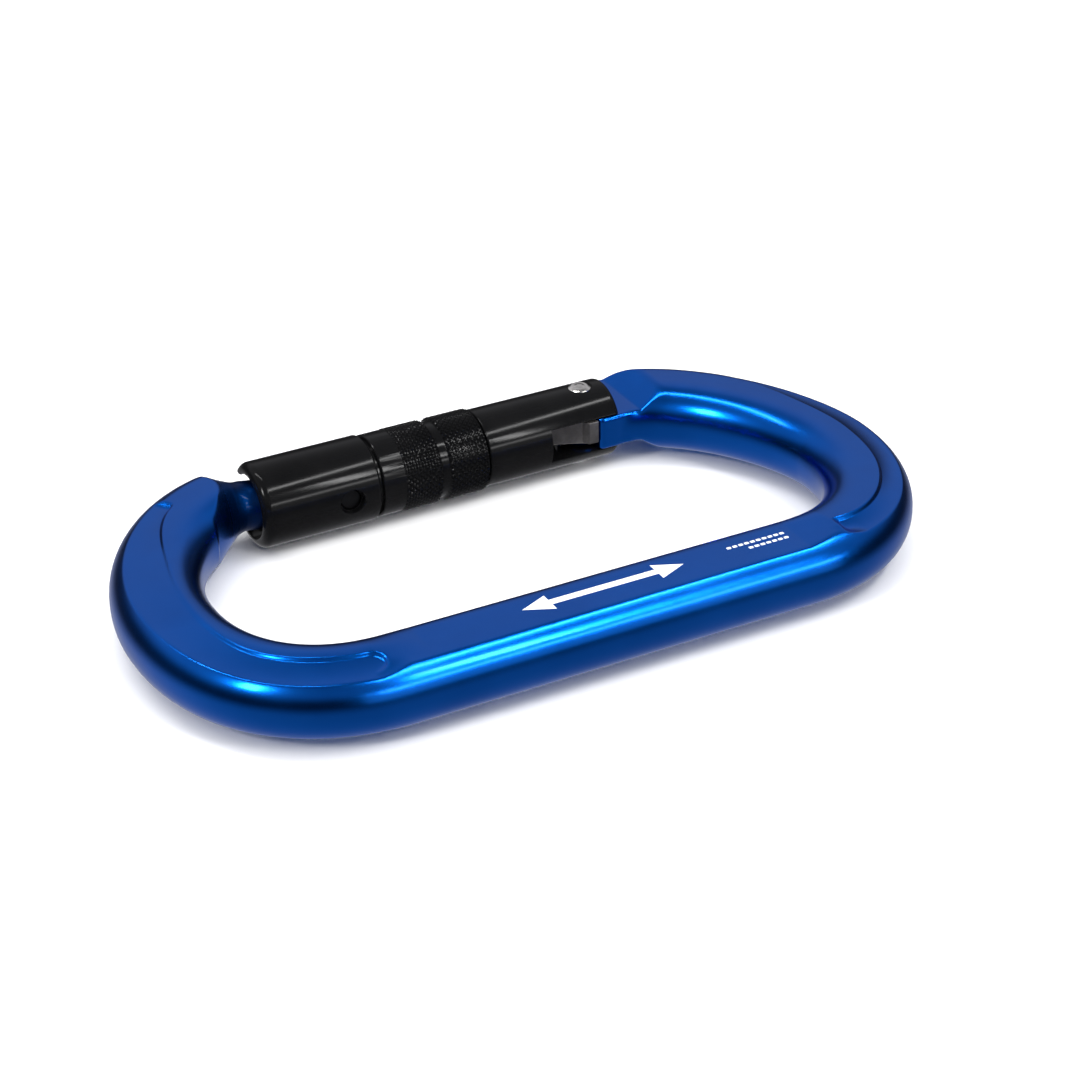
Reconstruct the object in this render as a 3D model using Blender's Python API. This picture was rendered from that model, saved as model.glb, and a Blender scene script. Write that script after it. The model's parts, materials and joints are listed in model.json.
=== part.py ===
"""Auto-locking oval carabiner: forged bar, hinged gate and a lift-and-twist locking sleeve.

Frame: origin at the middle of the bounding box, +X along the bar towards the hinge,
+Y from the spine towards the gate, +Z up and square to the plane of the oval.
"""
import math

import bmesh
import bpy
from mathutils import Matrix, Vector

MM = 0.001

# ---- driving dimensions of the bar -------------------------------------------------
SPINE_Y = -24.60 * MM          # centreline of the straight spine
GATE_Y = 24.57 * MM            # axis of the gate, sleeve and nose
SPINE_FLAT_Z = 4.40 * MM       # the flat on the top and on the bottom of the spine
FLANGE_Z = 4.05 * MM           # the stepped-down outer track round each bow
BEAD_Z = 4.95 * MM             # the raised inner bead round each bow
CREST_Z = 4.95 * MM            # top of the plain bar beside the nose and beside the hinge
NOSE_BOW = {"x": -28.55 * MM, "reach": 20.50 * MM, "widest_y": -1.70 * MM,
            "top_y": 25.10 * MM, "spine_power": 2.24, "gate_power": 1.91, "width": 0.975}
HINGE_BOW = {"x": 28.55 * MM, "reach": 20.35 * MM, "widest_y": -2.20 * MM,
             "top_y": 25.05 * MM, "spine_power": 2.12, "gate_power": 1.68}
BOW_STATIONS = 25
THINNING_X = (29.00 * MM, 40.00 * MM)      # the nose bow thins to its "width" between these
NOSE_TRACK_Y = (22.00 * MM, 19.00 * MM)    # the stepped track fades in between these heights
NOSE_TRACK_X = (-30.00 * MM, -33.00 * MM)  # and out again between these at the spine
HINGE_TRACK_Y = (22.50 * MM, 19.50 * MM)
HINGE_TRACK_X = (32.00 * MM, 35.00 * MM)
SPINE_STATIONS = (-24.0, -8.0, 8.0, 24.0)

# ---- nose ---------------------------------------------------------------------------
NECK_RADIUS = 3.45 * MM        # the turned neck outside the sleeve
NECK_OFFSET = 0.65 * MM        # its axis lies this far outside the gate axis
NECK_FLARE_X = -29.00 * MM     # it flares from here towards the bow
NECK_FLARE_SLOPE = 0.72
NECK_FLARE_ROUND = 1.60 * MM
NECK_CUT_END_X = -35.40 * MM   # past here the flare opens out and leaves the bar alone
NECK_LEAN_X = -30.60 * MM      # from here the flare's axis leans inwards with the bow
NECK_LEAN = 0.30
TIP_RADIUS = 3.20 * MM         # the nose inside the sleeve
TIP_START_X = -26.60 * MM
TIP_END_X = -25.75 * MM
KEY_X = -22.60 * MM            # centre of the key bulb
KEY_RADIUS = 2.00 * MM
KEY_WEB_Z = 1.10 * MM          # half thickness of the web behind the bulb
KEY_INNER_REACH = 2.20 * MM    # the key is cut back on its inner side
NOSE_STATIONS = (-20.61, -20.75, -21.2, -21.8, -22.6, -23.4, -24.0, -24.27)

# ---- tongue, hinge and rivet --------------------------------------------------------
PIVOT_X = 23.10 * MM
TONGUE_Z = 2.40 * MM
TONGUE_LOBE = 3.30 * MM
TONGUE_INNER = 5.40 * MM       # from the gate axis to the inner face of the block
CAM_RADIUS = 1.00 * MM
CAM_X = 1.40 * MM              # centre of the cam corner, from the pivot
CAM_Y = 4.30 * MM              # and inwards from the gate axis
TONGUE_OUTER = 6.00 * MM       # from the gate axis to the outer face of the block
TONGUE_TAPER_X = (5.2, 4.0, 2.9)
LOBE_ANGLES = (65.0, 45.0, 25.0, 8.0)
SHOULDER_X = 30.20 * MM        # foot of the ramp between the tongue and the crest
SHOULDER_RAMP = 3.70 * MM
FAN_X = (29.50 * MM, 38.00 * MM)           # the sections turn into the bow between these
RIVET_RADIUS = 1.50 * MM
RIVET_HEAD = 1.66 * MM
RIVET_SEAT_Z = 4.90 * MM
RIVET_TOP_Z = 5.78 * MM

# ---- gate arm ------------------------------------------------------------------------
STEM_RADIUS = 3.90 * MM
TUBE_RADIUS = 5.57 * MM
STEM_START_X = -25.50 * MM
TUBE_START_X = 6.15 * MM
TUBE_END_X = 26.95 * MM
FORK_ROOT_X = 15.90 * MM
FORK_HALF_GAP = 2.50 * MM
SPRING_BORE = 2.30 * MM
SPRING_BORE_X = 1.50 * MM
PUSHER_RELIEF = 3.80 * MM      # the bore widens here for the pusher's plate
PUSHER_RELIEF_X = 12.90 * MM
RING_GROOVE_X = -11.05 * MM
RING_GROOVE_WIDTH = 1.00 * MM
RING_GROOVE_RADIUS = 3.45 * MM
KEYHOLE_GAP = 0.35 * MM
WINDOW_DEPTH_RADIUS = 2.45 * MM

# ---- springs, pusher and ring ---------------------------------------------------------
GATE_SPRING = {"start": SPRING_BORE_X + 0.20 * MM, "end": 14.50 * MM, "mean_radius": 1.72 * MM,
               "wire_radius": 0.32 * MM, "turns": 9.0}
SLEEVE_SPRING = {"start": -10.00 * MM, "end": 3.55 * MM, "mean_radius": 4.35 * MM,
                 "wire_radius": 0.33 * MM, "turns": 5.0}
PUSHER_PLATE_Z = (-1.10 * MM, 2.20 * MM)
PUSHER_FACE_GAP = 0.05 * MM    # between the pusher's face and the tongue
PUSHER_LOBE_GAP = 0.30 * MM
RING_WIDTH = 0.90 * MM
RING_INNER = 3.50 * MM
RING_OUTER = 4.60 * MM
RING_HALF_OPENING = 28.0       # degrees
RING_POINTS = 29
WASHER_INNER = 4.00 * MM
WASHER_OUTER = 4.68 * MM
WASHER_THICKNESS = 0.60 * MM

# ---- locking sleeve ------------------------------------------------------------------
BARREL_RADIUS = 6.02 * MM
BARREL_START_X = -27.90 * MM
BARREL_END_X = -10.75 * MM
BARREL_WALL = 2.00 * MM        # thickness of the front wall
BARREL_MOUTH = 4.45 * MM       # radius of the front bore
EXIT_SLOT_HALF = 3.62 * MM
EXIT_SLOT_END_X = -19.90 * MM
RUNNING_RADIUS = 3.98 * MM     # bores that run on the stem
SOCKET_RADIUS = 5.33 * MM
SPIGOT_RADIUS = 5.30 * MM
SPIGOT_X = -12.60 * MM
GRIP_START_X = -10.25 * MM
GRIP_RADIUS = 5.84 * MM
KNURL_RADIUS = 5.90 * MM
GROOVE_RADIUS = 5.45 * MM
KNURL_ONE_X = (-6.90 * MM, -1.30 * MM)
KNURL_TWO_X = (0.00 * MM, 5.85 * MM)
GRIP_BORE = 4.80 * MM
FLANGE_X = 4.30 * MM
SLEEVE_LIFT = 2.20 * MM
PIN_X = -15.05 * MM
PIN_RADIUS = 1.50 * MM
PIN_TIP_RADIUS = 2.65 * MM     # the pin's inner end, from the gate axis
PIN_HOLE_RADIUS = 1.80 * MM

SEGMENTS = 48


# ---- materials -------------------------------------------------------------------------
def make_material(name, colour, metallic, roughness):
    material = bpy.data.materials.new(name)
    material.use_nodes = True
    shader = material.node_tree.nodes["Principled BSDF"]
    shader.inputs["Base Color"].default_value = (*colour, 1.0)
    shader.inputs["Metallic"].default_value = metallic
    shader.inputs["Roughness"].default_value = roughness
    material.diffuse_color = (*colour, 1.0)
    return material


def blue_anodised(name):
    return make_material(name, (0.004, 0.090, 0.480), 1.0, 0.24)


def black_anodised(name):
    return make_material(name, (0.012, 0.013, 0.015), 0.6, 0.36)


def bright_steel(name):
    return make_material(name, (0.620, 0.610, 0.590), 1.0, 0.22)


def grey_steel(name):
    return make_material(name, (0.180, 0.170, 0.165), 0.9, 0.45)


def spring_steel(name):
    return make_material(name, (0.420, 0.420, 0.430), 1.0, 0.30)


# ---- small modelling helpers --------------------------------------------------------
def add_object(name, mesh_data, material=None, smooth_angle=30.0):
    """Turn a bmesh into an object with outward faces."""
    bmesh.ops.recalc_face_normals(mesh_data, faces=mesh_data.faces)
    mesh = bpy.data.meshes.new(name)
    mesh_data.to_mesh(mesh)
    mesh_data.free()
    mesh.shade_smooth()
    mesh.set_sharp_from_angle(angle=math.radians(smooth_angle))
    piece = bpy.data.objects.new(name, mesh)
    bpy.context.scene.collection.objects.link(piece)
    if material is not None:
        mesh.materials.append(material)
    return piece


def bridge(mesh_data, first, second):
    """Join two closed rings of the same length with quads."""
    count = len(first)
    for i in range(count):
        j = (i + 1) % count
        mesh_data.faces.new((first[i], first[j], second[j], second[i]))


def turned(name, profile, material=None, segments=SEGMENTS, centre=(GATE_Y, 0.0)):
    """Revolve a list of (x, radius) about the gate axis; radius 0 closes an end on the axis."""
    mesh_data = bmesh.new()
    rings = []
    for x, radius in profile:
        if radius == 0.0:
            rings.append([mesh_data.verts.new((x, centre[0], centre[1]))])
            continue
        ring = []
        for i in range(segments):
            angle = 2.0 * math.pi * i / segments
            ring.append(mesh_data.verts.new((x, centre[0] + radius * math.cos(angle),
                                             centre[1] + radius * math.sin(angle))))
        rings.append(ring)
    closed_loop = all(len(ring) > 1 for ring in rings)
    pairs = list(zip(rings, rings[1:]))
    if closed_loop:
        pairs.append((rings[-1], rings[0]))
    for first, second in pairs:
        if len(first) == 1:
            for i in range(segments):
                mesh_data.faces.new((first[0], second[i], second[(i + 1) % segments]))
        elif len(second) == 1:
            for i in range(segments):
                mesh_data.faces.new((second[0], first[(i + 1) % segments], first[i]))
        else:
            bridge(mesh_data, first, second)
    return add_object(name, mesh_data, material)


def prism(name, outline, low, high, axis="Z", material=None):
    """Extrude a closed outline. Axis Z takes (x, y) points, axis Y takes (x, z) points."""
    mesh_data = bmesh.new()

    def corner(point, level):
        if axis == "Z":
            return (point[0], point[1], level)
        return (point[0], level, point[1])

    lower = [mesh_data.verts.new(corner(point, low)) for point in outline]
    upper = [mesh_data.verts.new(corner(point, high)) for point in outline]
    bridge(mesh_data, lower, upper)
    mesh_data.faces.new(lower)
    mesh_data.faces.new(upper)
    return add_object(name, mesh_data, material)


def stepped_post(name, steps, x, y, axis="Z", material=None, segments=SEGMENTS):
    """A post of (height, radius) steps, standing along Z or along Y at x, y."""
    post = turned(name, steps, material, segments, centre=(0.0, 0.0))
    if axis == "Z":
        turn = Matrix.Rotation(math.radians(-90.0), 4, "Y")
    else:
        turn = Matrix.Rotation(math.radians(90.0), 4, "Z")
    post.data.transform(Matrix.Translation((x, y, 0.0)) @ turn)
    return post


def cut(piece, cutter, operation="DIFFERENCE"):
    """Leave a Boolean on the piece, with its cutter hidden."""
    cutter.hide_render = True
    cutter.display_type = "WIRE"
    modifier = piece.modifiers.new(cutter.name, "BOOLEAN")
    modifier.operation = operation
    modifier.solver = "EXACT"
    modifier.object = cutter


def arc(centre, radius, start, end, count):
    """Points along an arc in degrees, both ends included."""
    points = []
    for i in range(count):
        angle = math.radians(start + (end - start) * i / (count - 1))
        points.append((centre[0] + radius * math.cos(angle), centre[1] + radius * math.sin(angle)))
    return points


def coil(name, spring, material, per_turn, sides=5):
    """A compression spring about the gate axis with one dead turn at each end."""
    mean_radius, wire_radius, turns = spring["mean_radius"], spring["wire_radius"], spring["turns"]
    dead_pitch = 2.0 * wire_radius * 1.06
    centre_start = spring["start"] + wire_radius
    centre_end = spring["end"] - wire_radius
    active_pitch = (centre_end - centre_start - 2.0 * dead_pitch) / (turns - 2.0)
    mesh_data = bmesh.new()
    rings = []
    count = int(turns * per_turn)
    for i in range(count + 1):
        turn = i / per_turn
        head = min(turn, 1.0)
        tail = max(turn - (turns - 1.0), 0.0)
        x = centre_start + dead_pitch * (head + tail) + active_pitch * (turn - head - tail)
        angle = 2.0 * math.pi * turn
        outward = Vector((0.0, math.cos(angle), math.sin(angle)))
        centre = Vector((x, GATE_Y, 0.0)) + mean_radius * outward
        ring = []
        for k in range(sides):
            around = 2.0 * math.pi * (k + 0.5) / sides
            offset = wire_radius * (math.cos(around) * outward + math.sin(around) * Vector((1, 0, 0)))
            ring.append(mesh_data.verts.new(centre + offset))
        rings.append(ring)
    for first, second in zip(rings, rings[1:]):
        bridge(mesh_data, first, second)
    mesh_data.faces.new(rings[0])
    mesh_data.faces.new(rings[-1])
    return add_object(name, mesh_data, material)


# ---- bar sections: (offset, height) of the upper half, from the outer to the inner side ----
def spine_section():
    return [(-6.10, 0.0), (-5.85, 1.70), (-5.05, 3.20), (-3.60, SPINE_FLAT_Z / MM),
            (-1.80, SPINE_FLAT_Z / MM), (0.0, SPINE_FLAT_Z / MM), (1.80, SPINE_FLAT_Z / MM),
            (3.55, SPINE_FLAT_Z / MM), (5.05, 3.20), (5.85, 1.70), (6.10, 0.0)]


def bow_section():
    return [(-6.10, 0.0), (-5.85, 1.70), (-5.05, 3.05), (-3.60, FLANGE_Z / MM),
            (-1.50, FLANGE_Z / MM), (0.75, FLANGE_Z / MM), (1.60, 4.70),
            (2.80, BEAD_Z / MM), (4.60, 3.90), (5.85, 2.00), (6.10, 0.0)]


def plain_section():
    return [(-6.10, 0.0), (-5.85, 1.70), (-5.05, 3.25), (-3.70, 4.45),
            (-1.90, CREST_Z / MM), (0.0, CREST_Z / MM + 0.05), (1.90, CREST_Z / MM), (3.70, 4.45),
            (5.05, 3.25), (5.85, 1.70), (6.10, 0.0)]


def round_section(radius):
    points = []
    for i in range(11):
        angle = math.pi * (1.0 - i / 10.0)
        points.append((radius / MM * math.cos(angle), radius / MM * math.sin(angle)))
    points[0] = (-radius / MM, 0.0)
    points[-1] = (radius / MM, 0.0)
    return points


def key_section(half_height):
    """The round tip flattened to the web or bulb, and cut back on the inner side."""
    points = []
    for offset, height in round_section(TIP_RADIUS):
        clipped = min(height, half_height / MM)
        points.append((min(offset, KEY_INNER_REACH / MM), clipped))
    return points


def block_section(outer, inner, half_height):
    """A flat-sided block: the outer and inner faces upright, the top flat."""
    low, high, top = -outer / MM, inner / MM, half_height / MM
    step = (high - low) / 6.0
    points = [(low, 0.0), (low, 0.5 * top)]
    points += [(low + step * i, top) for i in range(7)]
    return points + [(high, 0.5 * top), (high, 0.0)]


def mix(first, second, amount):
    return [(a[0] + (b[0] - a[0]) * amount, a[1] + (b[1] - a[1]) * amount)
            for a, b in zip(first, second)]


def smooth(value, start, end):
    t = min(max((value - start) / (end - start), 0.0), 1.0)
    return t * t * (3.0 - 2.0 * t)


# ---- bar centreline ------------------------------------------------------------------------
def bow_point(bow, side, turn):
    """A point on one bow; turn runs from -90 degrees at the spine to +90 at the gate."""
    across, along = math.cos(turn), math.sin(turn)
    if along < 0.0:
        power, depth = bow["spine_power"], bow["widest_y"] - SPINE_Y
    else:
        power, depth = bow["gate_power"], bow["top_y"] - bow["widest_y"]
    x = bow["x"] + side * bow["reach"] * max(across, 0.0) ** (2.0 / power)
    y = bow["widest_y"] + math.copysign(depth * abs(along) ** (2.0 / power), along)
    return Vector((x, y))


def bow_stations(bow, side, count):
    """Evenly spaced centreline points from the gate end down to the spine."""
    fine = [bow_point(bow, side, math.radians(90.0 - 0.25 * i)) for i in range(721)]
    lengths = [0.0]
    for a, b in zip(fine, fine[1:]):
        lengths.append(lengths[-1] + (b - a).length)
    points = []
    k = 0
    for i in range(count):
        target = lengths[-1] * i / (count - 1)
        while k < len(fine) - 2 and lengths[k + 1] < target:
            k += 1
        part = (target - lengths[k]) / (lengths[k + 1] - lengths[k])
        points.append(fine[k].lerp(fine[k + 1], part))
    return points


def neck_limit(x):
    """Radius that the neck is turned to: a cylinder, then a flare that opens out."""
    depth = max(NECK_FLARE_X - x, 0.0)
    opening = max(NECK_CUT_END_X - x, 0.0)
    flare = NECK_FLARE_SLOPE * (math.hypot(depth, NECK_FLARE_ROUND) - NECK_FLARE_ROUND)
    return NECK_RADIUS + flare + 3.0 * opening ** 2 / MM


def turn_neck(point):
    """Pull a point of the bar in to the turned neck."""
    x, y, z = point
    if y < 0.0 or x > NECK_FLARE_X:
        return point
    axis_y = GATE_Y + NECK_OFFSET - NECK_LEAN * max(NECK_LEAN_X - x, 0.0)
    scale = min(1.0, neck_limit(x) / math.hypot(y - axis_y, z))
    return (x, axis_y + (y - axis_y) * scale, z * scale)


def cut_shoulder(point):
    """Cut a point of the bar back to the tongue's thickness and the ramp beside it."""
    x, y, z = point
    if y < 0.0 or x < PIVOT_X:
        return point
    ramp = max(x - SHOULDER_X, 0.0) / SHOULDER_RAMP
    return (x, y, min(z, TONGUE_Z + ramp * (CREST_Z + 0.1 * MM - TONGUE_Z)))


def nose_stations():
    """Key bulb, web and neck: (centre, section), straight along the gate axis."""
    stations = []
    for x in NOSE_STATIONS:
        height = math.sqrt(max(KEY_RADIUS ** 2 - (x * MM - KEY_X) ** 2, 0.0))
        stations.append((Vector((x * MM, GATE_Y)), key_section(max(height, 0.15 * MM))))
    stations.append((Vector((TIP_END_X + 0.02 * MM, GATE_Y)), key_section(KEY_WEB_Z)))
    for x in (TIP_END_X, TIP_START_X):
        stations.append((Vector((x, GATE_Y)), round_section(TIP_RADIUS)))
    stations.append((Vector((BARREL_START_X, GATE_Y + 0.75 * NECK_OFFSET)), round_section(NECK_RADIUS)))
    for x in (NECK_FLARE_X + 0.3 * MM, NECK_FLARE_X - 0.9 * MM):
        stations.append((Vector((x, GATE_Y + NECK_OFFSET)), round_section(neck_limit(x))))
    return stations


def nose_bow_stations():
    """From the neck round the bow to the spine; the stepped track starts past the shoulder."""
    stations = []
    for point in bow_stations(NOSE_BOW, -1.0, BOW_STATIONS):
        if point.x > NECK_FLARE_X - 1.5 * MM and point.y > 0.0:
            continue
        if point.y > 0.0:
            track = smooth(point.y, *NOSE_TRACK_Y)
            section = mix(plain_section(), bow_section(), track)
        else:
            track = smooth(point.x, *NOSE_TRACK_X)
            section = mix(spine_section(), bow_section(), track)
        thin = smooth(abs(point.x), *THINNING_X)
        width = 1.0 + (NOSE_BOW["width"] - 1.0) * thin
        stations.append((point, [(offset * width, height) for offset, height in section]))
    return stations


def hinge_bow_stations():
    """From the spine round the bow up to the shoulder beside the tongue."""
    stations = []
    for point in reversed(bow_stations(HINGE_BOW, 1.0, BOW_STATIONS)):
        if point.x < SHOULDER_X + 0.8 * MM and point.y > 0.0:
            continue
        if point.y > 0.0:
            track = smooth(point.y, *HINGE_TRACK_Y)
            section = mix(plain_section(), bow_section(), track)
        else:
            track = smooth(point.x, *HINGE_TRACK_X)
            section = mix(spine_section(), bow_section(), track)
        stations.append((point, section))
    return stations


def tongue_stations():
    """The flat tongue between the fork's ears, the cam corner and the lobe round the rivet."""
    stations = []

    def add(x_from_pivot, outer, inner):
        x = PIVOT_X + x_from_pivot
        stations.append((Vector((x, GATE_Y)), block_section(outer, inner, TONGUE_Z)))

    add(SHOULDER_X - PIVOT_X, TONGUE_OUTER, TONGUE_INNER)
    taper_start = 2.0 * MM
    taper_length = SHOULDER_X - PIVOT_X - taper_start
    for part in TONGUE_TAPER_X:
        taper = (part * MM - taper_start) / taper_length
        outer = TONGUE_LOBE + 0.3 * MM + (TONGUE_OUTER - TONGUE_LOBE - 0.3 * MM) * taper ** 1.5
        add(part * MM, outer, TONGUE_INNER)
    cam_face = CAM_X - CAM_RADIUS
    for angle in (0.0, 30.0, 60.0, 85.0):
        reach = CAM_X - CAM_RADIUS * math.sin(math.radians(angle))
        inner = CAM_Y + (TONGUE_INNER - CAM_Y) * math.cos(math.radians(angle))
        add(reach, TONGUE_LOBE + 0.05 * MM + 0.10 * (reach - cam_face), inner)
    lobe_reaches = [cam_face - 0.01 * MM]
    lobe_reaches += [-TONGUE_LOBE * math.cos(math.radians(angle)) for angle in LOBE_ANGLES]
    for reach in lobe_reaches:
        half = math.sqrt(TONGUE_LOBE ** 2 - reach ** 2)
        add(reach, half, half)
    return stations


def make_body_frame(material):
    """One forged bar: nose key, neck, nose bow, spine, hinge bow and tongue."""
    stations = nose_stations() + nose_bow_stations()
    for x in SPINE_STATIONS:
        stations.append((Vector((x * MM, SPINE_Y)), spine_section()))
    stations += hinge_bow_stations() + tongue_stations()
    mesh_data = bmesh.new()
    rings = []
    for i, (centre, section) in enumerate(stations):
        before = stations[max(i - 1, 0)][0]
        after = stations[min(i + 1, len(stations) - 1)][0]
        direction = (after - before).normalized()
        if centre.y > 0.0 and (NECK_FLARE_X - 1.0 * MM < centre.x < SHOULDER_X + 0.1 * MM):
            direction = Vector((-1.0, 0.0))
        if centre.y == SPINE_Y:
            direction = Vector((1.0, 0.0))
        stretch = 1.0
        if centre.y > 0.0 and SHOULDER_X + 0.1 * MM < centre.x < FAN_X[1]:
            turned_in = (centre.x - FAN_X[0]) / (FAN_X[1] - FAN_X[0])
            across = Vector((-1.0, 0.0)).lerp(direction, turned_in).normalized()
            stretch = 1.0 / across.dot(direction)
            direction = across
        inward = Vector((-direction.y, direction.x))
        half = []
        for offset, height in section:
            place = centre + inward * offset * stretch * MM
            half.append(cut_shoulder(turn_neck((place.x, place.y, height * MM))))
        ring = [mesh_data.verts.new(point) for point in half]
        ring += [mesh_data.verts.new((x, y, -z)) for x, y, z in reversed(half[1:-1])]
        rings.append(ring)
    for first, second in zip(rings, rings[1:]):
        bridge(mesh_data, first, second)
    mesh_data.faces.new(rings[0])
    mesh_data.faces.new(rings[-1])
    body = add_object("body_frame", mesh_data, material)
    reach = 2.0 * TONGUE_Z
    cut(body, stepped_post("cutter_tongue_hole",
                           [(-reach, 0.0), (-reach, RIVET_RADIUS + 0.05 * MM),
                            (reach, RIVET_RADIUS + 0.05 * MM), (reach, 0.0)], PIVOT_X, GATE_Y,
                           segments=32))
    return body


# ---- gate --------------------------------------------------------------------------------------
def rivet_steps(radius_gap, head_gap, top):
    """Profile of the rivet, or of the stepped hole that it fills."""
    shank, head = RIVET_RADIUS + radius_gap, RIVET_HEAD + head_gap
    seat = RIVET_SEAT_Z - head_gap
    return [(-top, 0.0), (-top, head), (-seat, head), (-seat, shank),
            (seat, shank), (seat, head), (top, head), (top, 0.0)]


def window_sector():
    """Annular sector swept by the guide pin: its slide along X times its quarter turn."""
    half_width = math.degrees(math.asin((PIN_RADIUS + 0.12 * MM) / PIN_TIP_RADIUS))
    start, end = 180.0 - half_width, 270.0 + half_width
    low = PIN_X - SLEEVE_LIFT - PIN_RADIUS - 0.15 * MM
    high = PIN_X + PIN_RADIUS + 0.15 * MM
    outer = arc((GATE_Y, 0.0), STEM_RADIUS + 1.0 * MM, start, end, 16)
    inner = arc((GATE_Y, 0.0), WINDOW_DEPTH_RADIUS, end, start, 16)
    mesh_data = bmesh.new()
    front = [mesh_data.verts.new((low, y, z)) for y, z in outer + inner]
    back = [mesh_data.verts.new((high, y, z)) for y, z in outer + inner]
    bridge(mesh_data, front, back)
    mesh_data.faces.new(front)
    mesh_data.faces.new(back)
    return add_object("cutter_cam_window", mesh_data)


def keyhole_outline():
    """Keyhole in the X-Z plane: a straight mouth and a round pocket with room behind."""
    mouth = KEY_WEB_Z + KEYHOLE_GAP
    pocket = KEY_RADIUS + KEYHOLE_GAP
    front = STEM_START_X - 1.0 * MM
    opening = math.degrees(math.asin(mouth / pocket))
    rear_shift = 0.15 * MM
    outline = [(front, -mouth)]
    outline += arc((KEY_X, 0.0), pocket, 180.0 + opening, 270.0, 7)
    outline += arc((KEY_X + rear_shift, 0.0), pocket, 270.0, 450.0, 15)
    outline += arc((KEY_X, 0.0), pocket, 90.0, 180.0 - opening, 7)
    outline.append((front, mouth))
    return outline


def make_gate_arm(material):
    """Hollow gate: slim stem inside the sleeve, full tube behind it, fork over the tongue."""
    groove_end = RING_GROOVE_X + RING_GROOVE_WIDTH
    profile = [
        (STEM_START_X, 0.0), (STEM_START_X, STEM_RADIUS - 0.4 * MM),
        (STEM_START_X + 0.4 * MM, STEM_RADIUS), (RING_GROOVE_X, STEM_RADIUS),
        (RING_GROOVE_X, RING_GROOVE_RADIUS), (groove_end, RING_GROOVE_RADIUS),
        (groove_end, STEM_RADIUS), (TUBE_START_X, STEM_RADIUS),
        (TUBE_START_X, TUBE_RADIUS - 0.2 * MM), (TUBE_START_X + 0.2 * MM, TUBE_RADIUS),
        (TUBE_END_X - 0.7 * MM, TUBE_RADIUS), (TUBE_END_X - 0.2 * MM, TUBE_RADIUS - 0.3 * MM),
        (TUBE_END_X, TUBE_RADIUS - 0.7 * MM), (TUBE_END_X, 0.0)]
    gate = turned("gate_arm", profile, material)
    cut(gate, prism("cutter_keyhole", keyhole_outline(), GATE_Y - KEY_INNER_REACH - 0.20 * MM,
                    GATE_Y + 2.0 * STEM_RADIUS, axis="Y"))
    cut(gate, window_sector())
    bore_end = FORK_ROOT_X + 0.5 * MM
    cut(gate, turned("cutter_spring_bore",
                     [(SPRING_BORE_X, 0.0), (SPRING_BORE_X, SPRING_BORE),
                      (PUSHER_RELIEF_X, SPRING_BORE), (PUSHER_RELIEF_X, PUSHER_RELIEF),
                      (bore_end, PUSHER_RELIEF), (bore_end, 0.0)], segments=24))
    wide = 2.0 * TUBE_RADIUS
    cut(gate, prism("cutter_fork", [(FORK_ROOT_X, GATE_Y - wide), (TUBE_END_X + wide, GATE_Y - wide),
                                    (TUBE_END_X + wide, GATE_Y + wide), (FORK_ROOT_X, GATE_Y + wide)],
                    -FORK_HALF_GAP, FORK_HALF_GAP))
    cut(gate, stepped_post("cutter_rivet_hole", rivet_steps(0.03 * MM, 0.03 * MM, 2.0 * TUBE_RADIUS),
                           PIVOT_X, GATE_Y, segments=32))
    return gate


def make_hinge_rivet(material):
    """Solid rivet with a low domed head at each end."""
    dome = [(RIVET_TOP_Z - 0.35 * MM, RIVET_HEAD), (RIVET_TOP_Z - 0.12 * MM, 0.80 * RIVET_HEAD),
            (RIVET_TOP_Z - 0.02 * MM, 0.45 * RIVET_HEAD), (RIVET_TOP_Z, 0.0)]
    side = [(RIVET_SEAT_Z, RIVET_HEAD), (RIVET_SEAT_Z, RIVET_RADIUS)]
    upper = list(reversed(dome)) + side
    lower = [(-x, radius) for x, radius in reversed(upper)]
    return stepped_post("hinge_rivet", upper + lower, PIVOT_X, GATE_Y, material=material,
                        segments=32)


def make_retaining_ring(material):
    """Open spring ring in the stem's groove; it stops the sleeve spring."""
    start, end = 90.0 + RING_HALF_OPENING, 450.0 - RING_HALF_OPENING
    start_x = RING_GROOVE_X + 0.05 * MM
    outer = arc((GATE_Y, 0.0), RING_OUTER, start, end, RING_POINTS)
    inner = arc((GATE_Y, 0.0), RING_INNER, end, start, RING_POINTS)
    mesh_data = bmesh.new()
    front = [mesh_data.verts.new((start_x, y, z)) for y, z in outer + inner]
    back = [mesh_data.verts.new((start_x + RING_WIDTH, y, z)) for y, z in outer + inner]
    bridge(mesh_data, front, back)
    last = 2 * RING_POINTS - 1
    for ring in (front, back):
        for i in range(RING_POINTS - 1):
            mesh_data.faces.new((ring[i], ring[i + 1], ring[last - 1 - i], ring[last - i]))
    return add_object("retaining_ring", mesh_data, material)


def make_spring_pusher(material):
    """Stem in the spring, collar in the bore and a flat flared head that bears on the cam."""
    face_x = PIVOT_X + CAM_X - CAM_RADIUS - PUSHER_FACE_GAP
    outline = [(15.20, 1.90), (15.20, -1.90), (16.00, -2.15), (21.30, -4.20), (21.95, -5.15)]
    outline = [(x * MM, GATE_Y + y * MM) for x, y in outline]
    outline += [(face_x - 0.15 * MM, GATE_Y - 5.20 * MM), (face_x, GATE_Y - 5.05 * MM)]
    outline += [(face_x, GATE_Y - 3.75 * MM)]
    outline += arc((PIVOT_X, GATE_Y), TONGUE_LOBE + PUSHER_LOBE_GAP, 257.0, 148.0, 9)
    pusher = prism("spring_pusher", outline, *PUSHER_PLATE_Z, material=material)
    stem = [(6.00, 0.0), (6.00, 0.75), (6.30, 1.05), (14.60, 1.05), (14.60, 2.10),
            (15.30, 2.10), (15.60, 1.30), (16.20, 0.0)]
    cut(pusher, turned("join_pusher_stem", [(x * MM, r * MM) for x, r in stem], segments=24), "UNION")
    return pusher


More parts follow.
